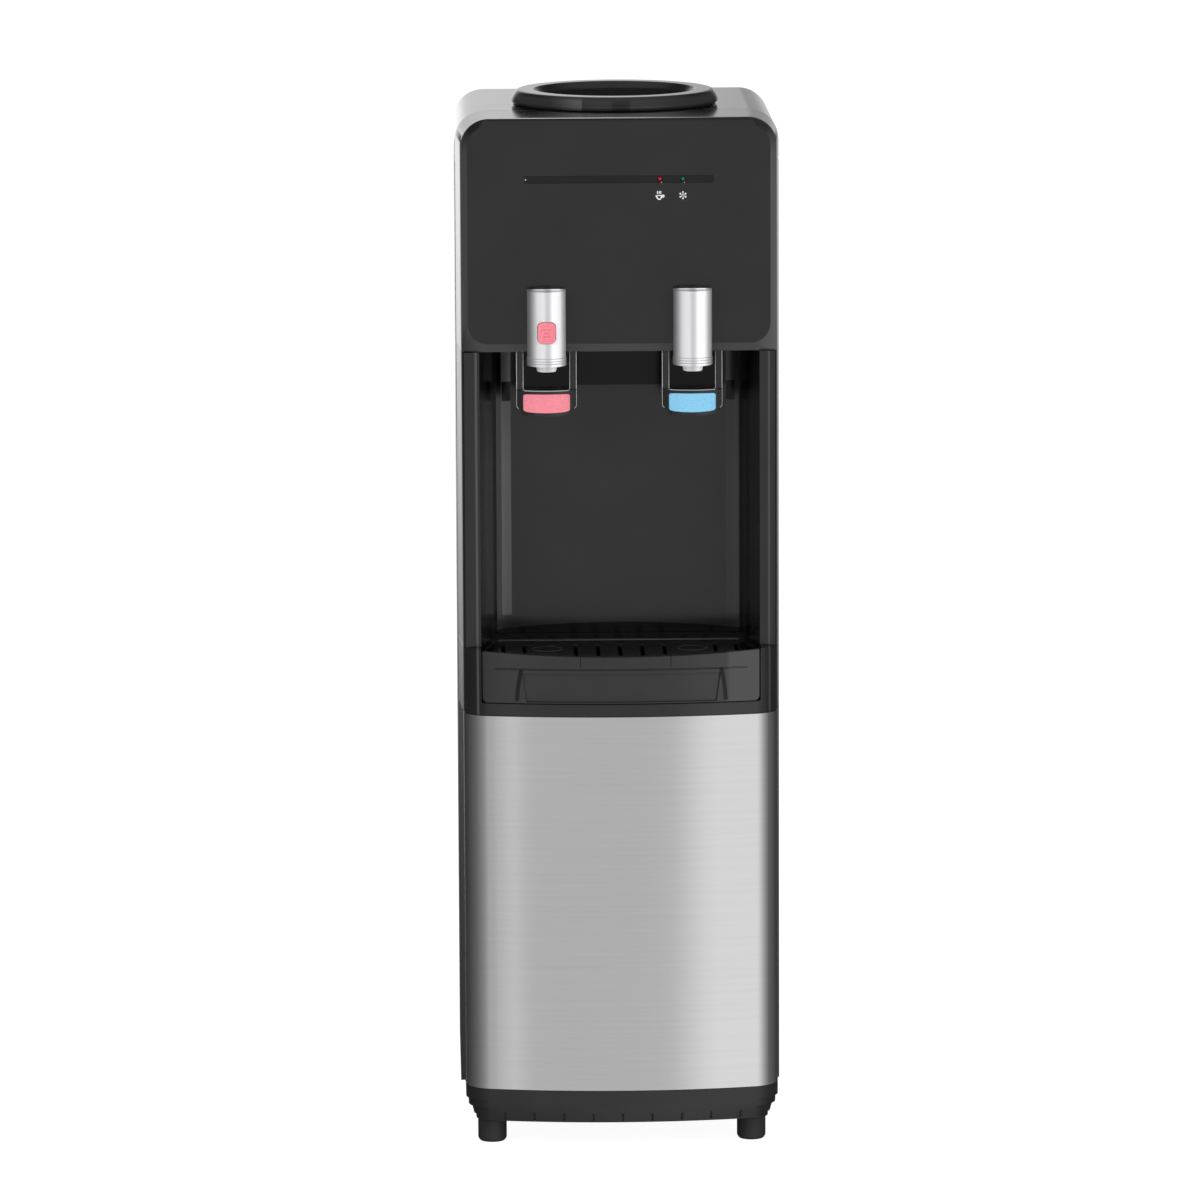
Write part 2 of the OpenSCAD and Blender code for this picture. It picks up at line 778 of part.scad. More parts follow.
module tray_surround() {
    half = front_w / 2;
    top = z_alcove - seam;
    color("#2e2f31") difference() {
        union() {
            translate([0, 0, z_surround + seam]) linear_extrude(top - z_surround - seam)
                bow_shape(0, y_seam - seam);
            block([-bay_half - wall, y_seam - over, z_surround + seam],
                [bay_half + wall, y_alcove + wall, top]);
        }
        translate([0, 0, z_surround + bar_h]) linear_extrude(surround_h)
            span(-bay_half, bay_half, y_front - over, y_alcove);
        for (s = [-1, 1]) mirror([s < 0 ? 1 : 0, 0, 0])
            translate([0, 0, z_surround - over]) linear_extrude(top - z_surround - wall + over)
                intersection() {
                bow_shape(wall, y_seam - wall);
                span(bay_half + wall, half, y_front, y_seam - wall);
            }
        translate([0, 0, z_surround - over]) linear_extrude(bar_h - wall + over) intersection() {
            bow_shape(2 * wall, y_seam - wall);
            span(-bay_half, bay_half, y_front, y_seam - wall);
        }
    }
}

module lower_front_frame() {
    edge = 40;
    backing = steel_t + seam;
    color("#1d1e20") difference() {
        translate([0, 0, z_panel]) linear_extrude(lower_panel_h) difference() {
            union() {
                bow_shape(backing, y_seam - seam);
                span(-front_w / 2, front_w / 2, corner_y + seam, y_seam - seam);
            }
            bow_shape(backing + wall, y_seam + over);
        }
        block([-corner_x + 10, y_front - over, z_panel + edge],
            [corner_x - 10, y_flat + 20, z_surround - edge]);
    }
}

module lower_front_panel() {
    color("silver") translate([0, 0, z_panel + seam]) linear_extrude(lower_panel_h - seam)
        bow_band(0, steel_t);
}

// Section of a tap body, seen from above, for a tap at x = 0
module tap_section(grow = 0) {
    w = tap_w + 2 * grow;
    intersection() {
        union() {
            span(-w / 2, w / 2, tap_round_y, y_flat);
            translate([0, tap_round_y]) circle(w / 2);
        }
        span(-w, w, y_front - over, y_flat);
    }
}

// A tap body with its shank and the sleeve of its valve stem
module tap_body(s) {
    ring_h = 1.4;
    translate([s * tap_x, 0, 0]) difference() {
        union() {
            translate([0, 0, tap_z]) linear_extrude(tap_h) tap_section();
            for (i = [0:2]) translate([0, 0, tap_z + 0.6 + i * 2.4]) linear_extrude(ring_h)
                tap_section(0.5);
            bar_y(0, shank_z, shank_r, y_flat, shank_end);
            bar_y(0, stem_z, sleeve_r, y_flat, hub_y - 12);
        }
        translate([0, 0, tap_z + tap_h - 0.8]) linear_extrude(2) intersection() {
            translate([0, tap_round_y - 1]) circle(tap_w / 2 - 3);
            span(-tap_w, tap_w, y_front, y_flat - 2);
        }
        bar_y(0, shank_z, shank_r - 3, y_flat - 8, shank_end + over);
        bar_y(0, stem_z, chamber_r, chamber_end, y_flat - 2);
        bar_y(0, stem_z, stem_r + pin_fit, y_flat - 3, hub_y);
        translate([0, y_flat - 5, stem_z]) cylinder(h = shank_z - stem_z, r = 2);
        translate([0, nozzle_y, tap_z - over]) cylinder(h = stem_z - tap_z + over, r = nozzle_bore_r);
        translate([0, nozzle_y, tap_z - over]) cylinder(h = 4 + over, r = nozzle_bore_r + 2.1);
    }
}

module hot_tap_body() {
    color("silver") difference() {
        tap_body(-1);
        translate([-tap_x, 0, lock_z]) along_y(y_front - over, lock_stop + slack)
            round_rect(lock_w + 2 * slack, lock_h + 2 * slack, 5.2);
    }
}

module cold_tap_body() {
    color("silver") tap_body(1);
}

module tap_nozzles() {
    top_r = nozzle_bore_r + 2;
    color("silver") for (s = [-1, 1]) translate([s * tap_x, nozzle_y, tap_z]) difference() {
        union() {
            translate([0, 0, -nozzle_h]) cylinder(h = nozzle_h - 2, r1 = nozzle_r - 1.2, r2 = nozzle_r);
            translate([0, 0, -2]) cylinder(h = 2, r = nozzle_r - 1);
            cylinder(h = 4 - eps, r = top_r);
        }
        translate([0, 0, -nozzle_h - over]) cylinder(h = nozzle_h + 6, r = nozzle_bore_r);
    }
}

module tap_nuts() {
    nut_y = bracket_y + bracket_t;
    color("goldenrod") for (s = [-1, 1]) difference() {
        bar_y(s * tap_x, shank_z, shank_r + 4, nut_y, nut_y + 7, $fn = 6);
        bar_y(s * tap_x, shank_z, shank_r + pin_fit, nut_y - over, nut_y + 8);
    }
}

module lever_brackets() {
    plate_low = hub_z + hub_r + 2;
    plate_high = shank_z + 15;
    ear_back = hub_y + hub_r;
    color("gray") for (s = [-1, 1]) translate([s * tap_x, 0, 0]) difference() {
        union() {
            block([-pin_half, bracket_y, plate_low], [pin_half, bracket_y + bracket_t, plate_high]);
            for (e = [-1, 1]) let (x = e * (ear_x + ear_t / 2))
                block([x - ear_t / 2, bracket_y, hub_z - hub_r + 1],
                    [x + ear_t / 2, ear_back, plate_low + 8]);
        }
        bar_y(0, shank_z, shank_r + 0.2, y_flat, shank_end);
        bar_y(0, stem_z, sleeve_r + 0.2, y_flat, shank_end);
        bar_x(hub_y, hub_z, pin_r + pin_fit / 2, -pin_half - over, pin_half + over);
    }
}

module lever_pins() {
    color("silver") for (s = [-1, 1]) translate([s * tap_x, 0, 0])
        bar_x(hub_y, hub_z, pin_r, -pin_half, pin_half);
}

// A lever that swings on its pin, pushed back by a cup; s is -1 or 1
module lever(s) {
    half = lever_w / 2;
    web_t = 3;
    corner_r = 8;
    translate([s * tap_x, 0, 0]) difference() {
        union() {
            bar_x(hub_y, hub_z, hub_r, -half, half);
            for (e = [-1, 1]) let (x = e * (half - arm_w / 2))
                block([x - arm_w / 2, arm_y, lever_z + block_h / 2], [x + arm_w / 2, hub_y, hub_z]);
            block([-half + arm_w - over, hub_y - web_t - 2, lever_z + block_h - over],
                [half - arm_w + over, hub_y - 2, hub_z]);
            intersection() {
                translate([0, 0, lever_z]) linear_extrude(block_h) intersection() {
                    translate([0, block_y]) circle(block_r, $fn = 128);
                    span(-half, half, y_front, hub_y);
                }
                translate([0, 0, lever_z + block_h]) along_y(y_front, hub_y)
                    round_rect(lever_w, 2 * block_h, corner_r);
            }
            block([-5, hub_y - tab_t / 2, hub_z], [5, hub_y + tab_t / 2, tab_top]);
        }
        bar_x(hub_y, hub_z, pin_r + pin_fit, -half - over, half + over);
        pad_space(0.1);
    }
}

// The band that a pad fills in the face of its lever, for a lever at x = 0
module pad_space(room) {
    low = lever_z + pad_lift;
    translate([0, 0, low - room]) linear_extrude(pad_h + 2 * room) intersection() {
        difference() {
            translate([0, block_y]) circle(block_r + (room > 0 ? 4 : pad_proud), $fn = 128);
            translate([0, block_y]) circle(block_r - 1.5 - room, $fn = 128);
        }
        span(-pad_w / 2 - room, pad_w / 2 + room, y_front, block_y);
    }
}

module hot_lever() {
    color("#222325") lever(-1);
}

module cold_lever() {
    color("#222325") lever(1);
}

module hot_lever_pad() {
    color("lightpink") translate([-tap_x, 0, 0]) pad_space(0);
}

module cold_lever_pad() {
    color("lightskyblue") translate([tap_x, 0, 0]) pad_space(0);
}

// A valve stem with its seal; s is -1 or 1
module valve_stem(s) {
    bar_y(s * tap_x, stem_z, stem_r, stem_front, stem_back);
    bar_y(s * tap_x, stem_z, chamber_r - 1, stem_front - seal_t, stem_front + eps);
}

module hot_valve_stem() {
    color("white") valve_stem(-1);
}

module cold_valve_stem() {
    color("white") valve_stem(1);
}

module lock_button() {
    rim = 2;
    color("lightpink") translate([-tap_x, 0, lock_z]) difference() {
        along_y(lock_front, lock_front + lock_d) round_rect(lock_w, lock_h, 4.75);
        along_y(lock_front - over, lock_front + 0.6) difference() {
            round_rect(lock_w - 2 * rim, lock_h - 2 * rim, 3);
            round_rect(lock_w - 4 * rim, lock_h - 4 * rim, 1.5);
        }
    }
}

module drip_tray() {
    half = tray_w / 2;
    floor_t = 2.5;
    ledge_w = 3;
    groove_z = tray_top - groove_drop;
    color("#38393b") difference() {
        translate([0, 0, z_tray]) linear_extrude(tray_h) intersection() {
            bow_shape(0, tray_back);
            span(-half, half, y_front - over, tray_back);
        }
        translate([0, 0, z_tray + floor_t]) linear_extrude(tray_h) grille_seat(ledge_w);
        translate([0, 0, grille_z - seam]) linear_extrude(tray_h) grille_seat(0);
        translate([0, 0, groove_z]) linear_extrude(1.2) intersection() {
            bow_band(-over, 0.8);
            span(-half + 12, half - 12, y_front - over, y_seam);
        }
        difference() {
            translate([0, 0, z_tray + 1.5]) linear_extrude(groove_z - z_tray - 5) intersection() {
                bow_band(-over, recess_d);
                span(-recess_w / 2, recess_w / 2, y_front - over, y_seam);
            }
            for (s = [-1, 1]) translate([s * (recess_w / 2 + 3), 0, z_tray + tray_h]) rotate([0, s * 8, 0])
                block([-5, y_front - over, -2 * tray_h], [5, y_flat, tray_h]);
        }
    }
}

// Plan of the grille's seat in the tray, clear of the alcove's walls above it
module grille_seat(inset) {
    half = tray_w / 2 - tray_wall - inset;
    intersection() {
        bow_shape(recess_d + tray_wall + 1 + inset, y_alcove);
        span(-half, half, y_front, tray_back - tray_wall - inset);
        alcove_space(slack + inset, y_front);
    }
}

module drip_grille() {
    cup_y = y_flat + 29;
    slot_back = tray_back - 34;
    drain_back = tray_back - 14;
    color("#1c1d1f") difference() {
        translate([0, 0, grille_z]) linear_extrude(grille_t) grille_seat(slack);
        for (s = [-1, 1], i = [0, 1, 2, 4.3, 5.25])
            let (x = s * i * slot_pitch, fore = y_front + 15 + 0.4 * i * i)
            block([x - slot_w / 2, fore, grille_z - over],
                [x + slot_w / 2, slot_back, grille_z + grille_t + over]);
        for (s = [-1, 1]) translate([s * tap_x, cup_y, grille_z + grille_t - 0.8]) difference() {
            cylinder(h = 2, r = cup_mark_r);
            cylinder(h = 2, r = cup_mark_r - 1.5);
        }
        for (x = [-4:4]) translate([x * slot_pitch, drain_back, grille_z - over])
            cylinder(h = grille_t + 2 * over, r = slot_w);
    }
}

module bottle_collar() {
    spigot_h = 22;
    rise = collar_h;
    spigot_r = well_r - funnel_t - slack - 2;
    foot = deck_drop + seam;
    color("#3a3b3d") translate([0, y_seat, z_deck + seam]) rotate_extrude($fn = 96) polygon([
        [collar_bore_r, rise - 6], [collar_bore_r + 6, rise], [collar_edge_r - 2, rise],
        [collar_edge_r, rise - 1], [collar_edge_r + 2.6, rise - 4.5], [collar_r - 0.6, foot + 6.3],
        [collar_r, foot + 3.6], [collar_r - 1.2, foot + 1.2], [collar_edge_r + 0.5, foot],
        [collar_edge_r + 0.5, 0],
        [collar_edge_r - 4, 0], [collar_edge_r - 4, 6], [spigot_r, 6], [spigot_r, -spigot_h],
        [collar_bore_r + 2, -spigot_h], [collar_bore_r, -4]
    ]);
}

module bottle_funnel() {
    flange_r = well_r + 5;
    cone_top = -24;
    neck_z = funnel_foot - z_deck;
    color("whitesmoke") translate([0, y_seat, z_deck]) difference() {
        rotate_extrude($fn = 96) polygon([
            [well_r - funnel_t - seam, 0], [well_r - funnel_t - seam, cone_top], [neck_r, neck_z + 16],
            [neck_r, neck_z + funnel_t],
            [probe_r + 4, neck_z + funnel_t], [probe_r + 4, neck_z], [neck_r + funnel_t, neck_z],
            [neck_r + funnel_t, neck_z + 15], [well_r - seam, cone_top - 2], [well_r - seam, 0],
            [flange_r, 0], [flange_r, 2], [well_r - funnel_t - seam, 2]
        ]);
        for (a = [45:90:315]) rotate([0, 0, a]) translate([neck_r - 9, 0, neck_z - over])
            cylinder(h = funnel_t + 2 * over, r = 4);
    }
}

module water_probe() {
    low = funnel_foot - 6;
    tip = z_deck - probe_drop;
    sleeve_z = funnel_foot + funnel_t + 10;
    color("white") translate([0, y_seat, 0]) difference() {
        union() {
            translate([0, 0, low]) cylinder(h = tip - low - probe_r, r = probe_r - 0.5);
            translate([0, 0, sleeve_z]) cylinder(h = tip - probe_r - sleeve_z, r = probe_r);
            translate([0, 0, tip - probe_r]) sphere(probe_r);
            translate([0, 0, funnel_foot + funnel_t]) cylinder(h = 2, r = probe_r + 6);
            translate([0, 0, funnel_foot]) cylinder(h = funnel_t, r = probe_r + 4 - pin_fit);
        }
        translate([0, 0, low - over]) cylinder(h = tip - low - 2 * probe_r, r = probe_r - 2.5);
        for (a = [0, 90]) rotate([0, 0, a])
            block([-probe_r - over, -2, funnel_foot + funnel_t + 2],
                [probe_r + over, 2, funnel_foot + funnel_t + 8]);
    }
}

module funnel_seal() {
    color("gray") translate([0, y_seat, lid_z]) rotate_extrude() difference() {
        translate([neck_r + funnel_t / 2, 1.5]) circle(1.4, $fn = 24);
        translate([0, 3]) square([2 * neck_r, 3]);
    }
}

module cold_tank() {
    color("silver") difference() {
        union() {
            translate([0, y_seat, cold_z]) cylinder(h = cold_h, r = cold_r);
            translate([0, y_seat, cold_top]) cylinder(h = tank_t, r = jacket_r - 2);
            bar_y(0, shank_z, pipe_r + 1, outlet_y, y_seat - cold_r + 2);
            translate([feed_x, y_seat, shelf_z - feed_stub])
                cylinder(h = cold_z - shelf_z + feed_stub + tank_t, r = pipe_r + 1);
        }
        translate([0, y_seat, cold_z + tank_t]) cylinder(h = cold_h, r = cold_r - tank_t);
        translate([0, y_seat, cold_top - over]) cylinder(h = 2 * over + tank_t, r = neck_r - 4);
        bar_y(0, shank_z, pipe_r - 0.5, outlet_y - over, y_seat);
        translate([feed_x, y_seat, shelf_z - feed_stub - over])
            cylinder(h = cold_z - shelf_z + feed_stub + 2 * over, r = pipe_r - 0.5);
    }
}

module cold_tank_jacket() {
    color("ivory") difference() {
        translate([0, y_seat, shelf_z + sheet]) cylinder(h = cold_top - shelf_z - sheet, r = jacket_r);
        translate([0, y_seat, cold_z]) cylinder(h = cold_h + over, r = jacket_in_r);
        bar_y(0, shank_z, pipe_r + 1.3, y_front, y_seat);
        translate([feed_x, y_seat, shelf_z - over]) cylinder(h = 2 * jacket_floor, r = pipe_r + 1.2);
        block([-pipe_r - 1, y_seat, coil_low - 4],
            [pipe_r + 1, y_seat + 2 * jacket_r, coil_low + pipe_r + 5]);
        block([-pipe_r - 1, y_seat, coil_high - 5],
            [pipe_r + 1, y_seat + 2 * jacket_r, coil_high + pipe_r + 4]);
    }
}

module evaporator_coil() {
    color("peru") translate([0, y_seat, 0]) rotate([0, 0, 90])
        helix(coil_r, coil_low, coil_high, coil_turns, coil_tube_r);
}

// A shelf of bent sheet between the side panels
module shelf(z, front) {
    half = side_in - seam;
    block([-half, front, z], [half, y_rear - sheet - seam, z + sheet]);
    for (s = [-1, 1]) let (x = s * (half - sheet / 2))
        block([x - sheet / 2, front, z - 12], [x + sheet / 2, y_rear - sheet - seam, z + eps]);
}

module cold_shelf() {
    color("lightgray") difference() {
        shelf(shelf_z, y_alcove + wall + seam);
        translate([feed_x, y_seat, 0]) cylinder(h = z_top, r = pipe_r + 3);
        pipe_gaps();
    }
}

module hot_tank() {
    color("silver") difference() {
        union() {
            translate([0, hot_tank_y, hot_z]) cylinder(h = hot_tank_h, r = hot_r);
            translate([0, hot_tank_y, hot_z - jacket_floor - tank_stub])
                cylinder(h = jacket_floor + tank_stub + tank_t, r = pipe_r + 1);
            translate([0, hot_tank_y, hot_top - tank_t]) cylinder(h = outlet_stub + tank_t, r = pipe_r + 1);
            bar_x(hot_tank_y, feed_z, pipe_r + 1, hot_r - 2, hot_jacket_r + tank_stub);
        }
        translate([0, hot_tank_y, hot_z + tank_t])
            cylinder(h = hot_tank_h - 2 * tank_t, r = hot_r - tank_t);
        translate([0, hot_tank_y, hot_z - jacket_floor - tank_stub - over])
            cylinder(h = hot_tank_h + 60, r = pipe_r - 0.5);
        bar_x(hot_tank_y, feed_z, pipe_r - 0.5, hot_r - 5, hot_jacket_r + tank_stub + over);
    }
}

module hot_tank_jacket() {
    color("lightyellow") difference() {
        translate([0, hot_tank_y, hot_shelf_z + sheet])
            cylinder(h = hot_tank_h + 2 * jacket_floor, r = hot_jacket_r);
        translate([0, hot_tank_y, hot_z]) cylinder(h = hot_tank_h + 2 * seam, r = hot_in_r);
        translate([0, hot_tank_y, 0]) cylinder(h = z_top, r = pipe_r + 1.3);
        bar_x(hot_tank_y, feed_z, pipe_r + 1.3, 0, body_w);
        block([-32, hot_tank_y, hot_top - 48], [32, y_rear, hot_top - 20]);
    }
}

module heater_band() {
    low = hot_z + 24;
    color("slategray") {
        translate([0, hot_tank_y, low]) difference() {
            cylinder(h = heater_h, r = hot_r + 2.2);
            translate([0, 0, -over]) cylinder(h = heater_h + 2 * over, r = hot_r + 0.1);
        }
    }
}

module thermostats() {
    disc_r = 8;
    disc_x = 16;
    y0 = hot_tank_y + sqrt(pow(hot_r, 2) - pow(disc_x - disc_r, 2)) + pin_fit;
    color("dimgray") for (s = [-1, 1]) {
        bar_y(s * disc_x, hot_top - 34, disc_r, y0, y0 + 12);
        bar_y(s * disc_x, hot_top - 34, disc_r + 2, y0 + 6, y0 + 8);
        block([s * disc_x - 1.5, y0 + 12, hot_top - 40], [s * disc_x + 1.5, y0 + 17, hot_top - 28]);
    }
}

module hot_shelf() {
    color("lightgray") difference() {
        shelf(hot_shelf_z, y_alcove + wall + seam);
        translate([0, hot_tank_y, 0]) cylinder(h = z_top, r = pipe_r + 4);
        pipe_gaps();
    }
}

module compressor() {
    color("#1a1a1a") {
        translate([0, comp_y, comp_z]) {
            rotate_extrude($fn = 96) {
                intersection() {
                    translate([comp_r - 30, 30]) circle(30);
                    square([comp_r, 30]);
                }
                span(0, comp_r - 30, 0, 30);
                span(0, comp_r, 30, comp_h - 40);
                span(0, comp_r + 2, comp_h / 2 - 2, comp_h / 2 + 2);
                intersection() {
                    translate([comp_r - 40, comp_h - 40]) circle(40);
                    span(0, comp_r, comp_h - 40, comp_h);
                }
                span(0, comp_r - 40, comp_h - 40, comp_h);
            }
            for (a = [-1, 1]) rotate([0, 0, a * 90]) translate([0, comp_r - 2, 30]) rotate([-90, 0, 0])
                cylinder(h = 12, r = pipe_r + 1);
        }
        difference() {
            translate([0, comp_y, comp_z - 3]) linear_extrude(3)
                round_rect(comp_foot_x + 26, comp_foot_y + 26, 13);
            for (x = [-0.5, 0.5], y = [-0.5, 0.5])
                translate([x * comp_foot_x, comp_y + y * comp_foot_y, comp_z - 4]) cylinder(h = 6, r = 7);
        }
    }
}

module compressor_mounts() {
    seat_z = comp_z - 3;
    color("black") for (x = [-0.5, 0.5], y = [-0.5, 0.5])
        translate([x * comp_foot_x, comp_y + y * comp_foot_y, z_panel]) rotate_extrude() polygon([
            [0, 0], [11, 0], [11, seat_z - z_panel - seam], [6.7, seat_z - z_panel - seam],
            [6.7, seat_z - z_panel + 3 + seam], [9, seat_z - z_panel + 3 + seam],
            [8, seat_z - z_panel + 6], [0, seat_z - z_panel + 6]
        ]);
}

module relay_cover() {
    color("#26272a") translate([0, comp_y - comp_r - 3, comp_z + 34]) difference() {
        block([-28, -26, 0], [28, 1, 52]);
        translate([0, comp_r + 3, -over]) cylinder(h = 60, r = comp_r + 2.6);
    }
}

module filter_drier() {
    neck = 12;
    color("peru") translate([-side_x, suction_y, drier_z]) {
        cylinder(h = neck, r1 = 3, r2 = 9);
        translate([0, 0, neck]) cylinder(h = drier_h - 2 * neck, r = 9);
        translate([0, 0, drier_h - neck]) cylinder(h = neck, r1 = 9, r2 = 3);
    }
}

module refrigerant_pipes() {
    side = comp_r + 10 + seam;
    port_z = comp_z + 30;
    fine_r = pipe_r - 1;
    color("peru") {
        tube([[side, comp_y, port_z], [riser_x, comp_y, port_z], [riser_x, cond_y, port_z],
            [riser_x, cond_y, cond_low], [cond_half - 8 + seam, cond_y, cond_low]], fine_r);
        tube([[-side_x, suction_y, drier_z - seam], [-side_x, suction_y, drier_z - 20],
            [-riser_x, suction_y, drier_z - 20],
            [-riser_x, cond_y, drier_z - 20], [-riser_x, cond_y, cond_high],
            [-cond_half - 3 - seam, cond_y, cond_high]], fine_r);
        tube([[-side_x, suction_y, drier_z + drier_h + seam], [-side_x, suction_y, drier_z + drier_h + 20],
            [-side_x, cap_y, drier_z + drier_h + 20],
            [-side_x, cap_y, coil_low], [-side_x, liquid_y, coil_low], [0, liquid_y, coil_low],
            [0, coil_back, coil_low]], fine_r);
        tube([[0, coil_back, coil_high], [0, suction_y, coil_high], [0, suction_y, loop_z],
            [-loop_x, suction_y, loop_z], [-loop_x, suction_y, port_z], [-loop_x, comp_y, port_z],
            [-side, comp_y, port_z]],
            pipe_r - 0.5);
    }
}

module condenser_tube() {
    bend = cond_pitch / 2;
    run = cond_half - bend;
    color("#1b1b1d") {
        for (i = [0:cond_runs - 1]) {
            z = cond_low + i * cond_pitch;
            bar_x(cond_y, z, cond_tube_r, -run, run);
            if (i < cond_runs - 1) let (s = i % 2 == 0 ? -1 : 1)
                translate([s * run, cond_y, z + bend]) rotate([90, 0, 0]) rotate([0, 0, s > 0 ? -90 : 90])
                    rotate_extrude(angle = 180) translate([bend, 0]) circle(cond_tube_r, $fn = 24);
        }
        bar_x(cond_y, cond_low, cond_tube_r, run - eps, cond_half - 8);
        bar_x(cond_y, cond_high, cond_tube_r, -cond_half - 3, -run + eps);
    }
}

module condenser_wires() {
    count = floor((cond_w - 2 * cond_pitch) / cond_wire_pitch / 2);
    off = cond_tube_r + 0.1 + cond_wire_d / 2;
    color("#1b1b1d") for (i = [-count:count], s = [-1, 1])
        translate([i * cond_wire_pitch, cond_y + s * off, wire_low])
            cylinder(h = wire_high - wire_low, d = cond_wire_d, $fn = 16);
}

module condenser_brackets() {
    arm_x = cond_half - cond_pitch / 2 - 8;
    back = y_rear + sheet;
    clip = cond_tube_r + 1;
    color("#1b1b1d") for (s = [-1, 1], i = [1, cond_runs - 2]) let (z = cond_low + i * cond_pitch)
        difference() {
        union() {
            block([s * arm_x - 7, back, z - 14], [s * arm_x + 7, back + sheet, z + 14]);
            block([s * arm_x - 7, back, z - 4], [s * arm_x + 7, cond_y + clip, z + 4]);
        }
        bar_x(cond_y, z, cond_tube_r + 0.1, s * arm_x - 8, s * arm_x + 8);
    }
}

module cold_hose() {
    color("whitesmoke") tube([[0, outlet_y - seam, shank_z], [0, shank_end + 8, shank_z],
        [tap_x, shank_end + 8, shank_z], [tap_x, shank_end + seam, shank_z]], pipe_r + 1, 6);
}

module hot_pipe() {
    z0 = hot_top + outlet_stub + pin_fit;
    z1 = z0 + 26;
    y1 = shank_end + 18;
    color("whitesmoke") tube([[0, hot_tank_y, z0], [0, hot_tank_y, z1], [0, hot_riser_y, z1],
        [-side_x, hot_riser_y, z1], [-side_x, hot_riser_y, shank_z], [-side_x, y1, shank_z],
        [-tap_x, y1, shank_z], [-tap_x, shank_end + seam, shank_z]], pipe_r + 1);
}

module feed_hose() {
    z0 = shelf_z - feed_stub - seam;
    z1 = z0 - 14;
    x0 = hot_jacket_r + tank_stub + seam;
    color("whitesmoke") tube([[feed_x, y_seat, z0], [feed_x, y_seat, z1], [side_x, y_seat, z1],
        [side_x, y_seat, feed_z], [side_x, hot_tank_y, feed_z], [x0, hot_tank_y, feed_z]], pipe_r + 1);
}

module drain_pipe() {
    color("gray") difference() {
        union() {
            tube([[0, hot_tank_y, hot_z - jacket_floor - tank_stub - seam], [0, hot_tank_y, service_z],
                [0, y_rear, service_z]], pipe_r + 1);
            bar_y(0, service_z, drain_r, y_rear - 8, y_rear + spout_d);
            bar_y(0, service_z, drain_r + 6, y_rear - 8, y_rear - 4);
        }
        bar_y(0, service_z, drain_r - 2, y_rear - 6, y_rear + spout_d + over);
    }
}

module drain_cap() {
    color("#26272a") difference() {
        union() {
            bar_y(0, service_z, drain_r + 3, y_rear + spout_d - 11, y_rear + spout_d + 3);
            for (a = [0:30:330]) translate([0, 0, service_z]) rotate([0, a, 0])
                bar_y(drain_r + 3, 0, 0.8, y_rear + spout_d - 10, y_rear + spout_d + 2, $fn = 16);
        }
        bar_y(0, service_z, drain_r + pin_fit, y_rear + spout_d - 12, y_rear + spout_d + seam);
    }
}

module switch_housings() {
    color("#1d1e20") for (i = [0, 1]) translate([switch_x - i * switch_pitch, 0, service_z]) difference() {
        union() {
            along_y(y_rear - 16, y_rear + sheet)
                span(-switch_w / 2 - 1.4, switch_w / 2 + 1.4, -switch_h / 2 - 1.4, switch_h / 2 + 1.4);
            along_y(y_rear + sheet, y_rear + sheet + 2) round_rect(switch_w + 7, switch_h + 7, 2);
        }
        along_y(y_rear - 12, y_rear + sheet + 3)
            span(-switch_w / 2, switch_w / 2, -switch_h / 2, switch_h / 2);
        bar_x(pivot_y, 0, pivot_r + pin_fit, -switch_w / 2 - 2, switch_w / 2 + 2);
    }
}

// A rocker that tips on a pivot across its housing
module rocker(i) {
    h = switch_h / 2 - 2;
    translate([switch_x - i * switch_pitch, 0, service_z]) {
        translate([0, pivot_y, 0]) rotate([90, 0, 90])
            translate([0, 0, -switch_w / 2 + slack]) linear_extrude(switch_w - 2 * slack) polygon([
                [-3, -3], [3, -3], [4, -h + 1], [7.6, -h + 0.4], [6.2, 0], [4.6, h - 0.4], [2, h - 1]
            ]);
        bar_x(pivot_y, 0, pivot_r, -switch_w / 2 - 1.2, switch_w / 2 + 1.2);
    }
}

module hot_switch() {
    color("firebrick") rocker(0);
}

module cold_switch() {
    color("seagreen") rocker(1);
}

module cord_gland() {
    out_d = 14;
    color("#1d1e20") difference() {
        union() {
            bar_y(gland_x, service_z, 9, y_rear - 8, y_rear + sheet);
            bar_y(gland_x, service_z, 12, y_rear + sheet, y_rear + sheet + 3, $fn = 64);
            bar_y(gland_x, service_z, 7.5, y_rear + sheet, y_rear + out_d);
            bar_y(gland_x, service_z, 12, y_rear - 6, y_rear - seam, $fn = 6);
        }
        bar_y(gland_x, service_z, gland_bore_r, y_rear - 9, y_rear + out_d + over);
    }
}

base_tray();
feet();
left_side_panel();
right_side_panel();
rear_panel();
top_cover();
upper_front_panel();
display_strip();
hot_lamp();
cold_lamp();
lamp_board();
alcove_liner();
tray_surround();
lower_front_frame();
lower_front_panel();
hot_tap_body();
cold_tap_body();
tap_nozzles();
tap_nuts();
lever_brackets();
lever_pins();
hot_lever();
cold_lever();
hot_lever_pad();
cold_lever_pad();
hot_valve_stem();
cold_valve_stem();
lock_button();
drip_tray();
drip_grille();
bottle_collar();
bottle_funnel();
water_probe();
funnel_seal();
cold_tank();
cold_tank_jacket();
evaporator_coil();
cold_shelf();
hot_tank();
hot_tank_jacket();
heater_band();
thermostats();
hot_shelf();
compressor();
compressor_mounts();
relay_cover();
filter_drier();
refrigerant_pipes();
condenser_tube();
condenser_wires();
condenser_brackets();
cold_hose();
hot_pipe();
feed_hose();
drain_pipe();
drain_cap();
switch_housings();
hot_switch();
cold_switch();
cord_gland();
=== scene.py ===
import json
import math
import bpy
from mathutils import Matrix, Vector


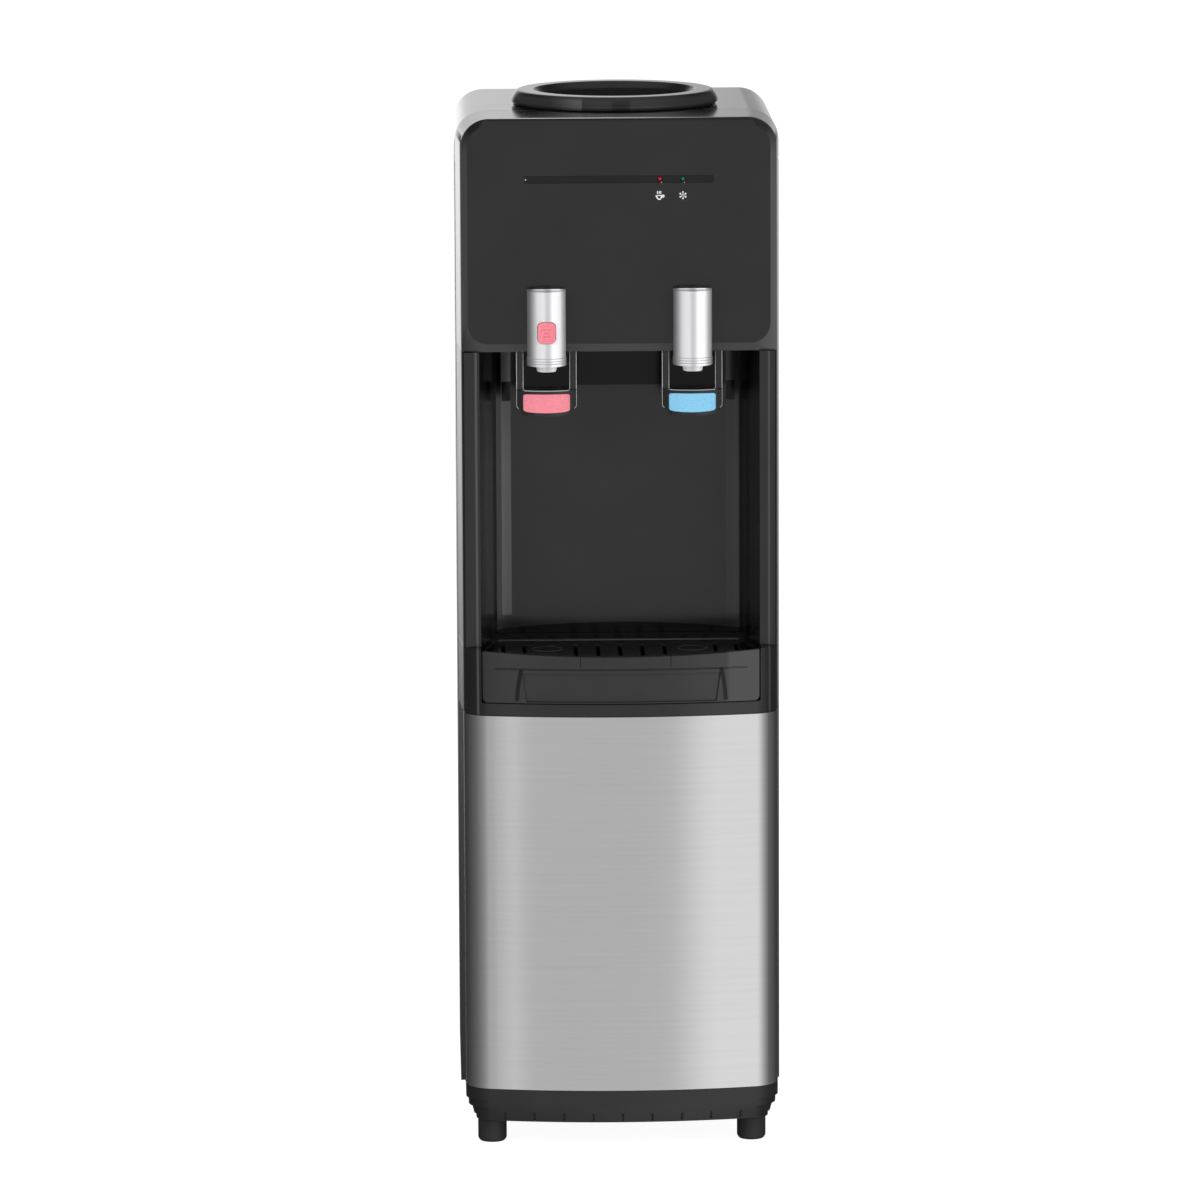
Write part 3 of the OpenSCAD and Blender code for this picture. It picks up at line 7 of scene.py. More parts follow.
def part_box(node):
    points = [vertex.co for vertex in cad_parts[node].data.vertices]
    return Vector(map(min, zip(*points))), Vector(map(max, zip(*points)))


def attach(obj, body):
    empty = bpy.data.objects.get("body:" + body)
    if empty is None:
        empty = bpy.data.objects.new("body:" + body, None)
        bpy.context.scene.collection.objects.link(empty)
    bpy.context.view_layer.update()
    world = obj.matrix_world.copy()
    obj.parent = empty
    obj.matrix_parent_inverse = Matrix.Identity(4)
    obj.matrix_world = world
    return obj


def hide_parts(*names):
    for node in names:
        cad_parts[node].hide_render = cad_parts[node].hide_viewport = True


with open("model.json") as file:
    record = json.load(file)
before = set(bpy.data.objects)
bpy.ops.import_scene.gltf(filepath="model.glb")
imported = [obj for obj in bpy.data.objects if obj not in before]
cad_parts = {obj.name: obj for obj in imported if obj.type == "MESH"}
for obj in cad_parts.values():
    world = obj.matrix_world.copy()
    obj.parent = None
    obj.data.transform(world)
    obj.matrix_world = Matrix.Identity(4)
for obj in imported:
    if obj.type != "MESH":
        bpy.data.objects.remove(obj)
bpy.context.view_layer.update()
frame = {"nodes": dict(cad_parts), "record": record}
nodes = frame["nodes"]
bodyOf = {name: body for body, names in frame["record"]["behaviour"]["bodies"].items() for name in names}
slotOf = {part["node"]: part["material_slot"] for part in frame["record"]["subparts"]}
print("frame loaded with", len(nodes), "nodes")

# the photograph's camera, fitted to its edges
shot = {
    "place": (-0.18896, -7.5092, 1.7183),
    "heading": (0.02270751, 0.98710912, -0.15842964),
    "roll": -0.0045,
    "lens": 232.11,
    "sensor": 36,
    "clip": (0.1, 60),
}


def makeCamera():
    forward = Vector(shot["heading"]).normalized()
    right = forward.cross(Vector((0, 0, 1))).normalized()
    up = right.cross(forward)
    turn = shot["roll"]
    across = right * math.cos(turn) + up * math.sin(turn)
    above = up * math.cos(turn) - right * math.sin(turn)
    data = bpy.data.cameras.new("camera")
    data.lens, data.sensor_width = shot["lens"], shot["sensor"]
    data.clip_start, data.clip_end = shot["clip"]
    camera = bpy.data.objects.new("camera", data)
    bpy.context.scene.collection.objects.link(camera)
    spin = Matrix((across, above, -forward)).transposed().to_4x4()
    camera.matrix_world = Matrix.Translation(shot["place"]) @ spin
    bpy.context.scene.camera = camera


makeCamera()
print("camera made")


# shader maths reads as Python, and each expression adds its nodes
class Wire:
    def __init__(self, kit, socket):
        self.kit, self.socket = kit, socket

    def maths(self, operation, *others):
        return self.kit.add("Math", {"operation": operation}, self, *others)

    def __add__(self, other):
        return self.maths("ADD", other)

    def __mul__(self, other):
        return self.maths("MULTIPLY", other)

    def __sub__(self, other):
        return self.maths("SUBTRACT", other)

    def __rsub__(self, other):
        return self.kit.add("Math", {"operation": "SUBTRACT"}, other, self)

    __radd__, __rmul__ = __add__, __mul__

    def ease(self, low, high):
        smooth = {"interpolation_type": "SMOOTHSTEP"}
        return self.kit.add("MapRange", smooth, self, low, high, 0.0, 1.0)

    def size(self):
        return self.maths("ABSOLUTE")

    # one between two places, nought outside them
    def within(self, low, high, soft=0.0004):
        return self.ease(low - soft, low + soft) * (1 - self.ease(high - soft, high + soft))

    # what is left above a limit, or nought
    def past(self, limit):
        return (self - limit).maths("MAXIMUM", 0.0)

    def out(self, name):
        return Wire(self.kit, self.socket.node.outputs[name])


def distance(across, along):
    return (across * across + along * along).maths("SQRT")


class NodeKit:
    def __init__(self, tree):
        self.tree = tree
        tree.nodes.clear()

    def plug(self, socket, value):
        if isinstance(value, Wire):
            self.tree.links.new(value.socket, socket)
        else:
            socket.default_value = value

    # settings come first, then the sockets by their order or name
    def add(self, kind, settings, *values, **named):
        node = self.tree.nodes.new("ShaderNode" + kind)
        for key, value in settings.items():
            if key == "stops":
                ramp = node.color_ramp
                while len(ramp.elements) < len(value):
                    ramp.elements.new(0.5)
                for element, (place, colour) in zip(ramp.elements, value):
                    element.position, element.color = place, colour
            else:
                setattr(node, key, value)
        for index, value in enumerate(values):
            self.plug(node.inputs[index], value)
        for key, value in named.items():
            self.plug(node.inputs[key.replace("_", " ")], value)
        shown = [socket for socket in node.outputs if socket.enabled]
        return Wire(self, shown[0] if shown else None)

    # mixes two colours, which are wires or red, green and blue
    def blend(self, factor, *colours):
        node = self.tree.nodes.new("ShaderNodeMix")
        node.data_type = "RGBA"
        self.plug(node.inputs[0], factor)
        for index, colour in zip((6, 7), colours):
            self.plug(node.inputs[index], colour if isinstance(colour, Wire) else (*colour, 1))
        return Wire(self, node.outputs[2])

    def spot(self):
        where = self.add("SeparateXYZ", {}, self.add("TexCoord", {}).out("Object"))
        return where.out("X"), where.out("Y"), where.out("Z")

    def noise(self, scale, detail=2.0, stretch=(1, 1, 1), roughness=0.5):
        place = self.add("TexCoord", {}).out("Object")
        fitted = self.add("Mapping", {}, place, Scale=stretch)
        return self.add("TexNoise", {}, Vector=fitted, Scale=scale, Detail=detail, Roughness=roughness)


# one entry for each finish: two linear colours that mottle, the roughness and the fine dents.
# grain and mottle are scales in waves per metre, depth is the dents' strength and shine the specular level
finishes = {
    "fasciaGloss": {
        "colour": (0.0062, 0.0062, 0.0066), "tint": (0.0078, 0.0078, 0.0082),
        "rough": 0.12, "grain": 900, "depth": 0.015,
    },
    "coverGloss": {
        "colour": (0.012, 0.012, 0.0125), "tint": (0.016, 0.016, 0.0165),
        "rough": 0.07, "grain": 800, "depth": 0.006,
    },
    "linerSatin": {
        "colour": (0.0085, 0.0085, 0.009), "tint": (0.0105, 0.0105, 0.011),
        "rough": 0.16, "grain": 900, "depth": 0.015,
    },
    "plinthSatin": {
        "colour": (0.0095, 0.0095, 0.0098), "tint": (0.0125, 0.0125, 0.0128),
        "rough": 0.38, "grain": 1800, "depth": 0.10,
    },
    "displayGloss": {
        "colour": (0.003, 0.003, 0.0033), "tint": (0.004, 0.004, 0.0044),
        "rough": 0.08, "grain": 500, "depth": 0.005, "shine": 0.35,
    },
    "trayGloss": {
        "colour": (0.015, 0.015, 0.0155), "tint": (0.018, 0.018, 0.0185),
        "rough": 0.16, "grain": 900, "depth": 0.015,
    },
    "grilleGloss": {
        "colour": (0.0065, 0.0065, 0.0067), "tint": (0.008, 0.008, 0.0083),
        "rough": 0.15, "grain": 900, "depth": 0.015,
    },
    "leverGloss": {
        "colour": (0.009, 0.009, 0.0095), "tint": (0.012, 0.012, 0.0125),
        "rough": 0.16, "grain": 900, "depth": 0.015,
    },
    # pale grey: a painted highlight on the levers' rounded edges and as the lamp glints, and the colour of the
    # display's pale dot
    "paleHighlightAndDot": {
        "colour": (0.50, 0.50, 0.505), "tint": (0.58, 0.58, 0.585),
        "rough": 0.22, "grain": 900, "depth": 0.015,
    },
    "collarGloss": {
        "colour": (0.012, 0.012, 0.0125), "tint": (0.0145, 0.0145, 0.015),
        "rough": 0.13, "grain": 700, "depth": 0.01, "shine": 0.3,
    },
    "sidePaint": {
        "colour": (0.050, 0.050, 0.053), "tint": (0.0525, 0.0525, 0.0555),
        "rough": 0.17, "grain": 2600, "depth": 0.03,
    },
    "tapSilver": {
        "colour": (0.69, 0.69, 0.695), "tint": (0.66, 0.66, 0.665),
        "rough": 0.42, "metal": 0.35, "grain": 3000, "depth": 0.02,
    },
    "pinkPlastic": {
        "colour": (0.90, 0.265, 0.325), "tint": (0.80, 0.215, 0.27),
        "rough": 0.42, "grain": 1500, "depth": 0.12, "mottle": 700,
    },
    "bluePlastic": {
        "colour": (0.25, 0.60, 0.84), "tint": (0.20, 0.52, 0.76),
        "rough": 0.42, "grain": 1500, "depth": 0.12, "mottle": 700,
    },
    "redLens": {
        "colour": (0.50, 0.012, 0.03), "tint": (0.42, 0.01, 0.02),
        "rough": 0.1, "grain": 400, "depth": 0.02,
    },
    "greenLens": {
        "colour": (0.012, 0.17, 0.09), "tint": (0.01, 0.13, 0.07),
        "rough": 0.1, "grain": 400, "depth": 0.02,
    },
    "circuitGreen": {
        "colour": (0.01, 0.10, 0.035), "tint": (0.02, 0.14, 0.05),
        "rough": 0.35, "grain": 600, "depth": 0.2,
    },
    "footRubber": {
        "colour": (0.016, 0.016, 0.016), "tint": (0.021, 0.021, 0.021),
        "rough": 0.6, "grain": 2200, "depth": 0.25,
    },
    "whitePlastic": {
        "colour": (0.72, 0.72, 0.70), "tint": (0.67, 0.67, 0.65),
        "rough": 0.35, "grain": 900, "depth": 0.05,
    },
    "tankSteel": {
        "colour": (0.62, 0.62, 0.62), "tint": (0.52, 0.52, 0.53),
        "rough": 0.28, "metal": 1.0, "grain": 700, "depth": 0.05,
    },
    "foamIvory": {
        "colour": (0.80, 0.76, 0.62), "tint": (0.72, 0.67, 0.52),
        "rough": 0.9, "grain": 500, "depth": 0.8,
    },
    "copperTube": {
        "colour": (0.66, 0.30, 0.17), "tint": (0.48, 0.20, 0.11),
        "rough": 0.3, "metal": 1.0, "grain": 300, "depth": 0.05,
    },
    "zincSheet": {
        "colour": (0.50, 0.51, 0.52), "tint": (0.40, 0.41, 0.43),
        "rough": 0.42, "metal": 1.0, "grain": 160, "depth": 0.03,
    },
    "blackMoulding": {
        "colour": (0.014, 0.014, 0.015), "tint": (0.019, 0.019, 0.02),
        "rough": 0.4, "grain": 1600, "depth": 0.12,
    },
    "blackEnamel": {
        "colour": (0.012, 0.012, 0.0125), "tint": (0.018, 0.018, 0.0185),
        "rough": 0.3, "grain": 700, "depth": 0.12,
    },
    "siliconeHose": {
        "colour": (0.62, 0.62, 0.58), "tint": (0.55, 0.55, 0.50),
        "rough": 0.45, "grain": 500, "depth": 0.1,
    },
    "brassNut": {
        "colour": (0.62, 0.42, 0.16), "tint": (0.52, 0.34, 0.12),
        "rough": 0.3, "metal": 1.0, "grain": 700, "depth": 0.05,
    },
    "rockerRed": {
        "colour": (0.42, 0.012, 0.012), "tint": (0.36, 0.01, 0.01),
        "rough": 0.25, "grain": 900, "depth": 0.04,
    },
    "rockerGreen": {
        "colour": (0.012, 0.22, 0.05), "tint": (0.01, 0.18, 0.04),
        "rough": 0.25, "grain": 900, "depth": 0.04,
    },
    "pinkShade": {
        "colour": (0.80, 0.15, 0.20), "tint": (0.72, 0.13, 0.18),
        "rough": 0.42, "grain": 1500, "depth": 0.1,
    },
    "signWhite": {
        "colour": (0.95, 0.95, 0.95), "tint": (0.91, 0.91, 0.91),
        "rough": 0.5, "grain": 2000, "depth": 0.1,
    },
    "markBlack": {
        "colour": (0.002, 0.002, 0.002), "tint": (0.003, 0.003, 0.003),
        "rough": 0.3, "grain": 2000, "depth": 0.05,
    },
}

tapSide = 0.07  # how far each tap stands from the middle


# each zone gives a mask by the place on the piece, and a tone: the colour's level and how metallic it is. Most
# zones paint light into the colour, as painted highlights, painted reflections and painted shade; the cup
# rings, the tap rings and the tray's ticks are marks.
# places are in metres, a pair of them is where a mask starts and ends, and a third number is its softness

# upper front: painted reflections on the border of its raised field, a painted highlight line along its top
# edge and painted light on the strip of deck in front of the collar, where the collar's shade falls
fascia = {
    "face": (-0.1468, -0.1464), "fieldWide": 0.126, "fieldMiddle": 0.8905, "fieldTall": 0.0855,
    "fieldRound": (0.0186, 0.0194), "foot": (0.785, 0.80), "footLeft": (-0.152, -0.132),
    "sides": (0.128, 0.144), "sidesTop": (0.965, 0.996), "leftFoot": (0.782, 0.81),
    "cornerWide": 0.124, "cornerTall": 0.975, "rimRound": (0.0272, 0.0275), "rimFace": (-0.1464, -0.1461),
    "rimTop": (0.955, 0.985), "rimFade": (-0.02, 0.135), "rimLoss": 0.9,
    "deckTop": (1.0022, 1.0026), "deckFront": (-0.1462, -0.1458), "deckWide": (0.09, 0.03),
    "tones": {"foot": (0.034, 0), "left": (0.041, 0), "right": (0.058, 0), "rim": (0.42, 0), "deck": (0.11, 0)},
}


def fasciaPaintedLight(kit):
    x, y, z = kit.spot()
    tones = fascia["tones"]
    wide = x.size().past(fascia["fieldWide"])
    tall = (z - fascia["fieldMiddle"]).size().past(fascia["fieldTall"])
    borderSheen = distance(wide, tall).ease(*fascia["fieldRound"]) * (1 - y.ease(*fascia["face"]))
    foot = (1 - z.ease(*fascia["foot"])) * x.ease(*fascia["footLeft"])
    side = x.size().ease(*fascia["sides"]) * (1 - z.ease(*fascia["sidesTop"]))
    right = x.ease(0, 0.01)
    corner = distance(x.size().past(fascia["cornerWide"]), z.past(fascia["cornerTall"]))
    rim = corner.ease(*fascia["rimRound"]) * (1 - y.ease(*fascia["rimFace"]))
    fade = 1 - x.ease(*fascia["rimFade"]) * fascia["rimLoss"]
    deck = z.ease(*fascia["deckTop"]) * y.ease(*fascia["deckFront"]) * x.size().ease(*fascia["deckWide"])
    # painted reflections on the field's border, dimmer at the foot and the left and brighter at the right, a
    # painted highlight on the top edge and painted light on the shaded deck strip
    return [
        (borderSheen * foot, *tones["foot"]),
        (borderSheen * side * (1 - right) * z.ease(*fascia["leftFoot"]), *tones["left"]),
        (borderSheen * side * right, *tones["right"]),
        (rim * z.ease(*fascia["rimTop"]) * fade, *tones["rim"]),
        (deck, *tones["deck"]),
    ]


# alcove, with the stepped back wall, a pillar at each side, the slanted side walls and the front frame: painted
# shade under the upper front, a painted sheen strip at each pillar with the lever's painted dark reflection in
# it, the grille's painted dark reflection low on the back wall, painted dark reflection bands on the side walls
# and a painted highlight line down each pillar's front edge
liner = {
    "backWall": (-0.0765, -0.0755), "outside": (0.130, 0.132), "face": (-0.1492, -0.1486),
    "shade": (0.7345, 0.7358), "floor": (0.5015, 0.5028), "floorBow": 0.45,
    "pillarSheenLeft": (0.1037, 0.1130), "pillarSheenRight": (0.1052, 0.1180), "pillarTall": (0.510, 0.772, 0.0015),
    "notchLeft": (0.1037, 0.1125), "notchRight": (0.1052, 0.1140), "notchTall": (0.720, 0.739),
    "wallFrontReflection": (0.1240, 0.1262, 0.001), "wallRearReflection": (0.1178, 0.1205, 0.001),
    "highlightLeft": (-0.1390, -0.1368, 0.0006), "highlightRight": (0.1425, 0.1445, 0.0006),
    "tones": {
        "shade": (0.003, 0.55), "pillarSheenLeft": (0.102, 0), "pillarSheenRight": (0.018, 0), "floor": (0.004, 0.62),
        "wallFrontReflection": (0.002, 0.7), "wallRearReflection": (0.002, 0.6), "highlightLeft": (0.058, 0), "highlightRight": (0.045, 0),
    },
}


def linerPaintedLight(kit):
    x, y, z = kit.spot()
    tones = liner["tones"]
    across = x.size()
    left = 1 - x.ease(0, 0.01)
    right = 1 - left
    face = 1 - y.ease(*liner["face"])
    rear = y.ease(*liner["backWall"]) * (1 - across.ease(*liner["outside"]))
    pillarSheen = (across.within(*liner["pillarSheenLeft"]) * left + across.within(*liner["pillarSheenRight"]) * right) * rear
    pillarSheen = pillarSheen * z.within(*liner["pillarTall"])
    # painted dark reflection of each lever in its sheen strip, in the painted shade's tone
    leverReflection = (across.within(*liner["notchLeft"]) * left + across.within(*liner["notchRight"]) * right) * rear
    # painted dark reflection of the grille, bowed, low on the back wall
    floor = 1 - (z + x * x * liner["floorBow"]).ease(*liner["floor"])
    return [
        (z.ease(*liner["shade"]) * rear, *tones["shade"]),
        (pillarSheen * left, *tones["pillarSheenLeft"]),
        (pillarSheen * right, *tones["pillarSheenRight"]),
        (leverReflection * z.within(*liner["notchTall"]), *tones["shade"]),
        (floor * rear, *tones["floor"]),
        (across.within(*liner["wallFrontReflection"]) * (1 - face), *tones["wallFrontReflection"]),
        (across.within(*liner["wallRearReflection"]) * (1 - rear) * (1 - face), *tones["wallRearReflection"]),
        (x.within(*liner["highlightLeft"]) * face, *tones["highlightLeft"]),
        (x.within(*liner["highlightRight"]) * face, *tones["highlightRight"]),
    ]


# lever: painted shade on the web between its arms
webShade = {"arms": (0.0222, 0.0216), "face": (-0.1410, -0.1400), "tall": (0.7415, 0.79), "tone": (0.002, 0.6)}


def leverPaintedShade(kit):
    x, y, z = kit.spot()
    inside = (x.size() - tapSide).size().ease(*webShade["arms"])
    return [(y.ease(*webShade["face"]) * z.within(*webShade["tall"]) * inside, *webShade["tone"])]


# tray: a painted reflection that makes the right end paler, painted shade at the ends of the finger recess and
# two dark ticks over it
tray = {
    "front": (-0.1505, -0.15), "rightEndSheen": (0.100, 0.106),
    "recessEnd": (0.1599, 0.1638, 0.0007), "recessTall": (0.4425, 0.4735),
    "lean": 0.137, "bow": 3.2, "middle": 0.458,
    "tickLeft": (-0.0398, -0.0390, 0.0002), "tickRight": (0.0472, 0.0480, 0.0002), "tickFoot": (0.4755, 0.4765),
    "tones": {"rightEndSheen": (0.042, 0), "recess": (0.004, 0.5), "tick": (0.003, 0.5)},
}


def trayZones(kit):
    x, y, z = kit.spot()
    tones = tray["tones"]
    front = 1 - y.ease(*tray["front"])
    height = z - tray["middle"]
    recess = (x.size() + z * tray["lean"] + height * height * tray["bow"]).within(*tray["recessEnd"])
    ticks = x.within(*tray["tickLeft"]) + x.within(*tray["tickRight"])
    return [
        (x.ease(*tray["rightEndSheen"]) * front, *tones["rightEndSheen"]),
        (recess * z.within(*tray["recessTall"]) * front, *tones["recess"]),
        (ticks * z.ease(*tray["tickFoot"]) * front, *tones["tick"]),
    ]


# grille: a ring for each cup, painted highlights as pale ticks between the slots and a painted highlight along
# the rear edge.
# the whole waves keep the ticks' count above nought
grille = {
    "cupDepth": -0.121, "cupRing": (0.0132, 0.0150, 0.0005), "pitch": 0.0215, "halfHighlight": (0.11, 0.08),
    "highlightDepth": (-0.1003, -0.0985, 0.0003), "highlightReach": (-1, 0.118), "wholeWaves": 100,
    "rearHighlight": (-0.0718, -0.0712),
    "tones": {"ring": (0.09, 0), "tick": (0.11, 0), "rearHighlight": (0.30, 0)},
}


def grilleZones(kit):
    x, y, z = kit.spot()
    tones = grille["tones"]
    ring = distance(x.size() - tapSide, y - grille["cupDepth"]).within(*grille["cupRing"])
    waves = x * (1 / grille["pitch"]) + (grille["wholeWaves"] + 0.5)
    phase = waves.maths("FRACT") - 0.5
    tick = phase.size().ease(*grille["halfHighlight"]) * y.within(*grille["highlightDepth"])
    return [
        (ring, *tones["ring"]),
        (tick * x.size().within(*grille["highlightReach"]), *tones["tick"]),
        (y.ease(*grille["rearHighlight"]), *tones["rearHighlight"]),
    ]


# collar: painted reflections on its rolled side, a pale patch to the left and a dark one in the middle
collar = {
    "centre": -0.005, "rolled": (0.0950, 0.0985), "foot": (1.0035, 1.0055),
    "lightLeft": (-0.066, -0.036), "lightRight": (-0.0342, -0.0334), "dark": (-0.0050, 0.0125, 0.0020),
    "tones": {"side": (0.030, 0), "paleReflectionPatch": (0.078, 0), "dark": (0.016, 0)},
}


def collarPaintedReflection(kit):
    x, y, z = kit.spot()
    tones = collar["tones"]
    side = distance(x, y - collar["centre"]).ease(*collar["rolled"]) * z.ease(*collar["foot"])
    paleReflectionPatch = x.ease(*collar["lightLeft"]) * (1 - x.ease(*collar["lightRight"]))
    return [
        (side, *tones["side"]),
        (side * paleReflectionPatch, *tones["paleReflectionPatch"]),
        (side * x.within(*collar["dark"]), *tones["dark"]),
    ]


# taps: painted reflections as soft upright bands, pale, bright and darker at the edges and in a dip, each with
# its tone, and three fine rings at the foot
tap = {
    "hotShift": 0.0012, "ringWaves": 2500, "ringPart": (0.55, 0.95), "rings": (0.7685, 0.7755),
    "paleReflectionBand": (-0.0115, -0.0024, 0.0030), "brightReflectionBand": (0.0034, 0.0132, 0.0022), "darkReflectionBand": (-0.0016, 0.0008, 0.0022),
    "leftEdgeReflection": (-0.0187, -0.0103), "rightEdgeReflection": (0.0148, 0.0198),
    "tones": {
        "paleReflectionBand": (0.80, 0.2), "brightReflectionBand": (0.99, 0.1), "leftEdgeReflection": (0.19, 0.2), "darkReflectionBand": (0.54, 0.2),
        "rightEdgeReflection": (0.20, 0.2), "rings": (0.34, 0.1),
    },
}


def tapZones(kit):
    x, y, z = kit.spot()
    tones = tap["tones"]
    off = x - x.maths("SIGN") * tapSide - (1 - x.ease(-0.001, 0.001)) * tap["hotShift"]
    rings = (z * tap["ringWaves"]).maths("SINE").ease(*tap["ringPart"]) * z.within(*tap["rings"])
    return [
        (off.within(*tap["paleReflectionBand"]), *tones["paleReflectionBand"]),
        (off.within(*tap["brightReflectionBand"]), *tones["brightReflectionBand"]),
        (1 - off.ease(*tap["leftEdgeReflection"]), *tones["leftEdgeReflection"]),
        (off.within(*tap["darkReflectionBand"]), *tones["darkReflectionBand"]),
        (off.ease(*tap["rightEdgeReflection"]), *tones["rightEdgeReflection"]),
        (rings, *tones["rings"]),
    ]


zonesOf = {
    "fasciaGloss": fasciaPaintedLight, "linerSatin": linerPaintedLight, "leverGloss": leverPaintedShade,
    "trayGloss": trayZones, "grilleGloss": grilleZones, "tapSilver": tapZones,
    "collarGloss": collarPaintedReflection,
}


# what the moulded and painted finishes share: sizes of the mottle and smear, and how blue the zones are
surface = {"mottle": 14, "smear": 9, "smearPart": 0.35, "bump": 0.0004, "blue": 1.03}


def makeFinish(name):
    look = finishes[name]
    material = bpy.data.materials.new(name)
    material.use_nodes = True
    kit = NodeKit(material.node_tree)
    mottle = kit.noise(look.get("mottle", surface["mottle"]), 3).ease(0.35, 0.65)
    smear = kit.noise(surface["smear"], 4, roughness=0.65)
    grain = kit.noise(look["grain"], 2)
    dents = kit.add("Bump", {}, Strength=look["depth"], Distance=surface["bump"], Height=grain)
    colour, metal = kit.blend(mottle, look["colour"], look["tint"]), look.get("metal", 0.0)
    zones = zonesOf[name](kit) if name in zonesOf else ()
    for mask, level, metallic in zones:
        colour = kit.blend(mask, colour, (level, level, level * surface["blue"]))
        metal = (1 - mask) * metal + mask * metallic
    shader = kit.add(
        "BsdfPrincipled", {},
        Base_Color=colour,
        Roughness=look["rough"] + (smear - 0.5) * (look["rough"] * surface["smearPart"]),
        Metallic=metal,
        Specular_IOR_Level=look.get("shine", 0.5),
        Normal=dents,
    )
    kit.add("OutputMaterial", {}, shader)
    return material


# brushed steel: fine level lines in the bump and the gloss, blurred upwards along the panel
steelLook = {
    "colour": (0.61, 0.61, 0.615), "tint": (0.65, 0.65, 0.655), "rough": 0.20, "roughPart": 0.06,
    "lines": 2600, "lineStretch": (0.012, 0.012, 1), "streaks": 300, "streakStretch": (0.02, 0.02, 1),
    "clouds": 5, "streakPart": 0.35, "cloudPart": 0.3, "depth": 0.012, "bump": 0.0002,
}


def makeSteel():
    material = bpy.data.materials.new("brushedSteel")
    material.use_nodes = True
    kit = NodeKit(material.node_tree)
    lines = kit.noise(steelLook["lines"], 2, stretch=steelLook["lineStretch"])
    streaks = kit.noise(steelLook["streaks"], 3, stretch=steelLook["streakStretch"]).ease(0.3, 0.7)
    clouds = kit.noise(steelLook["clouds"], 2).ease(0.3, 0.7)
    dents = kit.add("Bump", {}, Strength=steelLook["depth"], Distance=steelLook["bump"], Height=lines)
    mottle = streaks * steelLook["streakPart"] + clouds * steelLook["cloudPart"]
    shader = kit.add(
        "BsdfPrincipled", {},
        Base_Color=kit.blend(mottle, steelLook["colour"], steelLook["tint"]),
        Roughness=steelLook["rough"] + (lines - 0.5) * steelLook["roughPart"],
        Metallic=1.0, Anisotropic=1.0, Anisotropic_Rotation=0.25,
        Normal=dents,
    )
    kit.add("OutputMaterial", {}, shader)
    return material


materials = {name: makeFinish(name) for name in finishes}
materials["brushedSteel"] = makeSteel()
print("finishes made:", len(materials))

# which finish each of the record's slots takes
finishOfSlot = {
    "black_plinth": "plinthSatin", "foot_rubber": "footRubber", "painted_steel": "sidePaint",
    "cover_plastic": "coverGloss", "front_plastic": "fasciaGloss", "liner_plastic": "linerSatin",
    "display_plastic": "displayGloss", "red_lens": "redLens", "green_lens": "greenLens",
    "circuit_board": "circuitGreen", "stainless": "brushedSteel", "satin_silver": "tapSilver",
    "brass": "brassNut", "bright_steel": "tankSteel", "lever_plastic": "leverGloss",
    "pink_plastic": "pinkPlastic", "blue_plastic": "bluePlastic", "white_plastic": "whitePlastic",
    "tray_plastic": "trayGloss", "grille_plastic": "grilleGloss", "collar_plastic": "collarGloss",
    "tank_steel": "tankSteel", "foam": "foamIvory", "copper": "copperTube", "zinc_sheet": "zincSheet",
    "black_plastic": "blackMoulding", "black_enamel": "blackEnamel", "silicone": "siliconeHose",
    "red_switch": "rockerRed", "green_switch": "rockerGreen",
}


def paint(piece, finish):
    piece.data.materials.clear()
    piece.data.materials.append(materials[finish])
    for face in piece.data.polygons:
        face.material_index = 0


for name, node in nodes.items():
    paint(node, finishOfSlot[slotOf[name]])
print("nodes painted")


def pickOnly(piece):
    if bpy.context.object and bpy.context.object.mode != "OBJECT":
        bpy.ops.object.mode_set(mode="OBJECT")
    bpy.ops.object.select_all(action="DESELECT")
    piece.select_set(True)
    bpy.context.view_layer.objects.active = piece


def applyModifier(piece, name, kind, **settings):
    pickOnly(piece)
    modifier = piece.modifiers.new(name, kind)
    for key, value in settings.items():
        setattr(modifier, key, value)
    bpy.ops.object.modifier_apply(modifier=name)


# angles in degrees: edges sharper than the bevel's are rounded, faces flatter than the others shade smoothly
angles = {"bevel": 24, "soft": 20, "trim": 40, "round": 25, "merge": 0.6}


def smoothBelow(piece, angle):
    pickOnly(piece)
    bpy.ops.object.shade_smooth_by_angle(angle=math.radians(angle))


# rounds the edges and keeps the big faces flat in the light
def roundOff(piece, width, steps, edgeSlot=-1, clamp=True):
    applyModifier(
        piece, "bevel", "BEVEL", width=width, segments=steps, limit_method="ANGLE",
        angle_limit=math.radians(angles["bevel"]), use_clamp_overlap=clamp, material=edgeSlot,
    )
    smoothBelow(piece, angles["soft"])
    applyModifier(piece, "normals", "WEIGHTED_NORMAL", keep_sharp=True, weight=60)


# selects the vertices that pass a test, as picked by hand
def pickPoints(piece, test):
    bpy.ops.object.mode_set(mode="OBJECT")
    for face in piece.data.polygons:
        face.select = False
    for edge in piece.data.edges:
        edge.select = False
    for point in piece.data.vertices:
        point.select = bool(test(point.co))
    bpy.ops.object.mode_set(mode="EDIT")


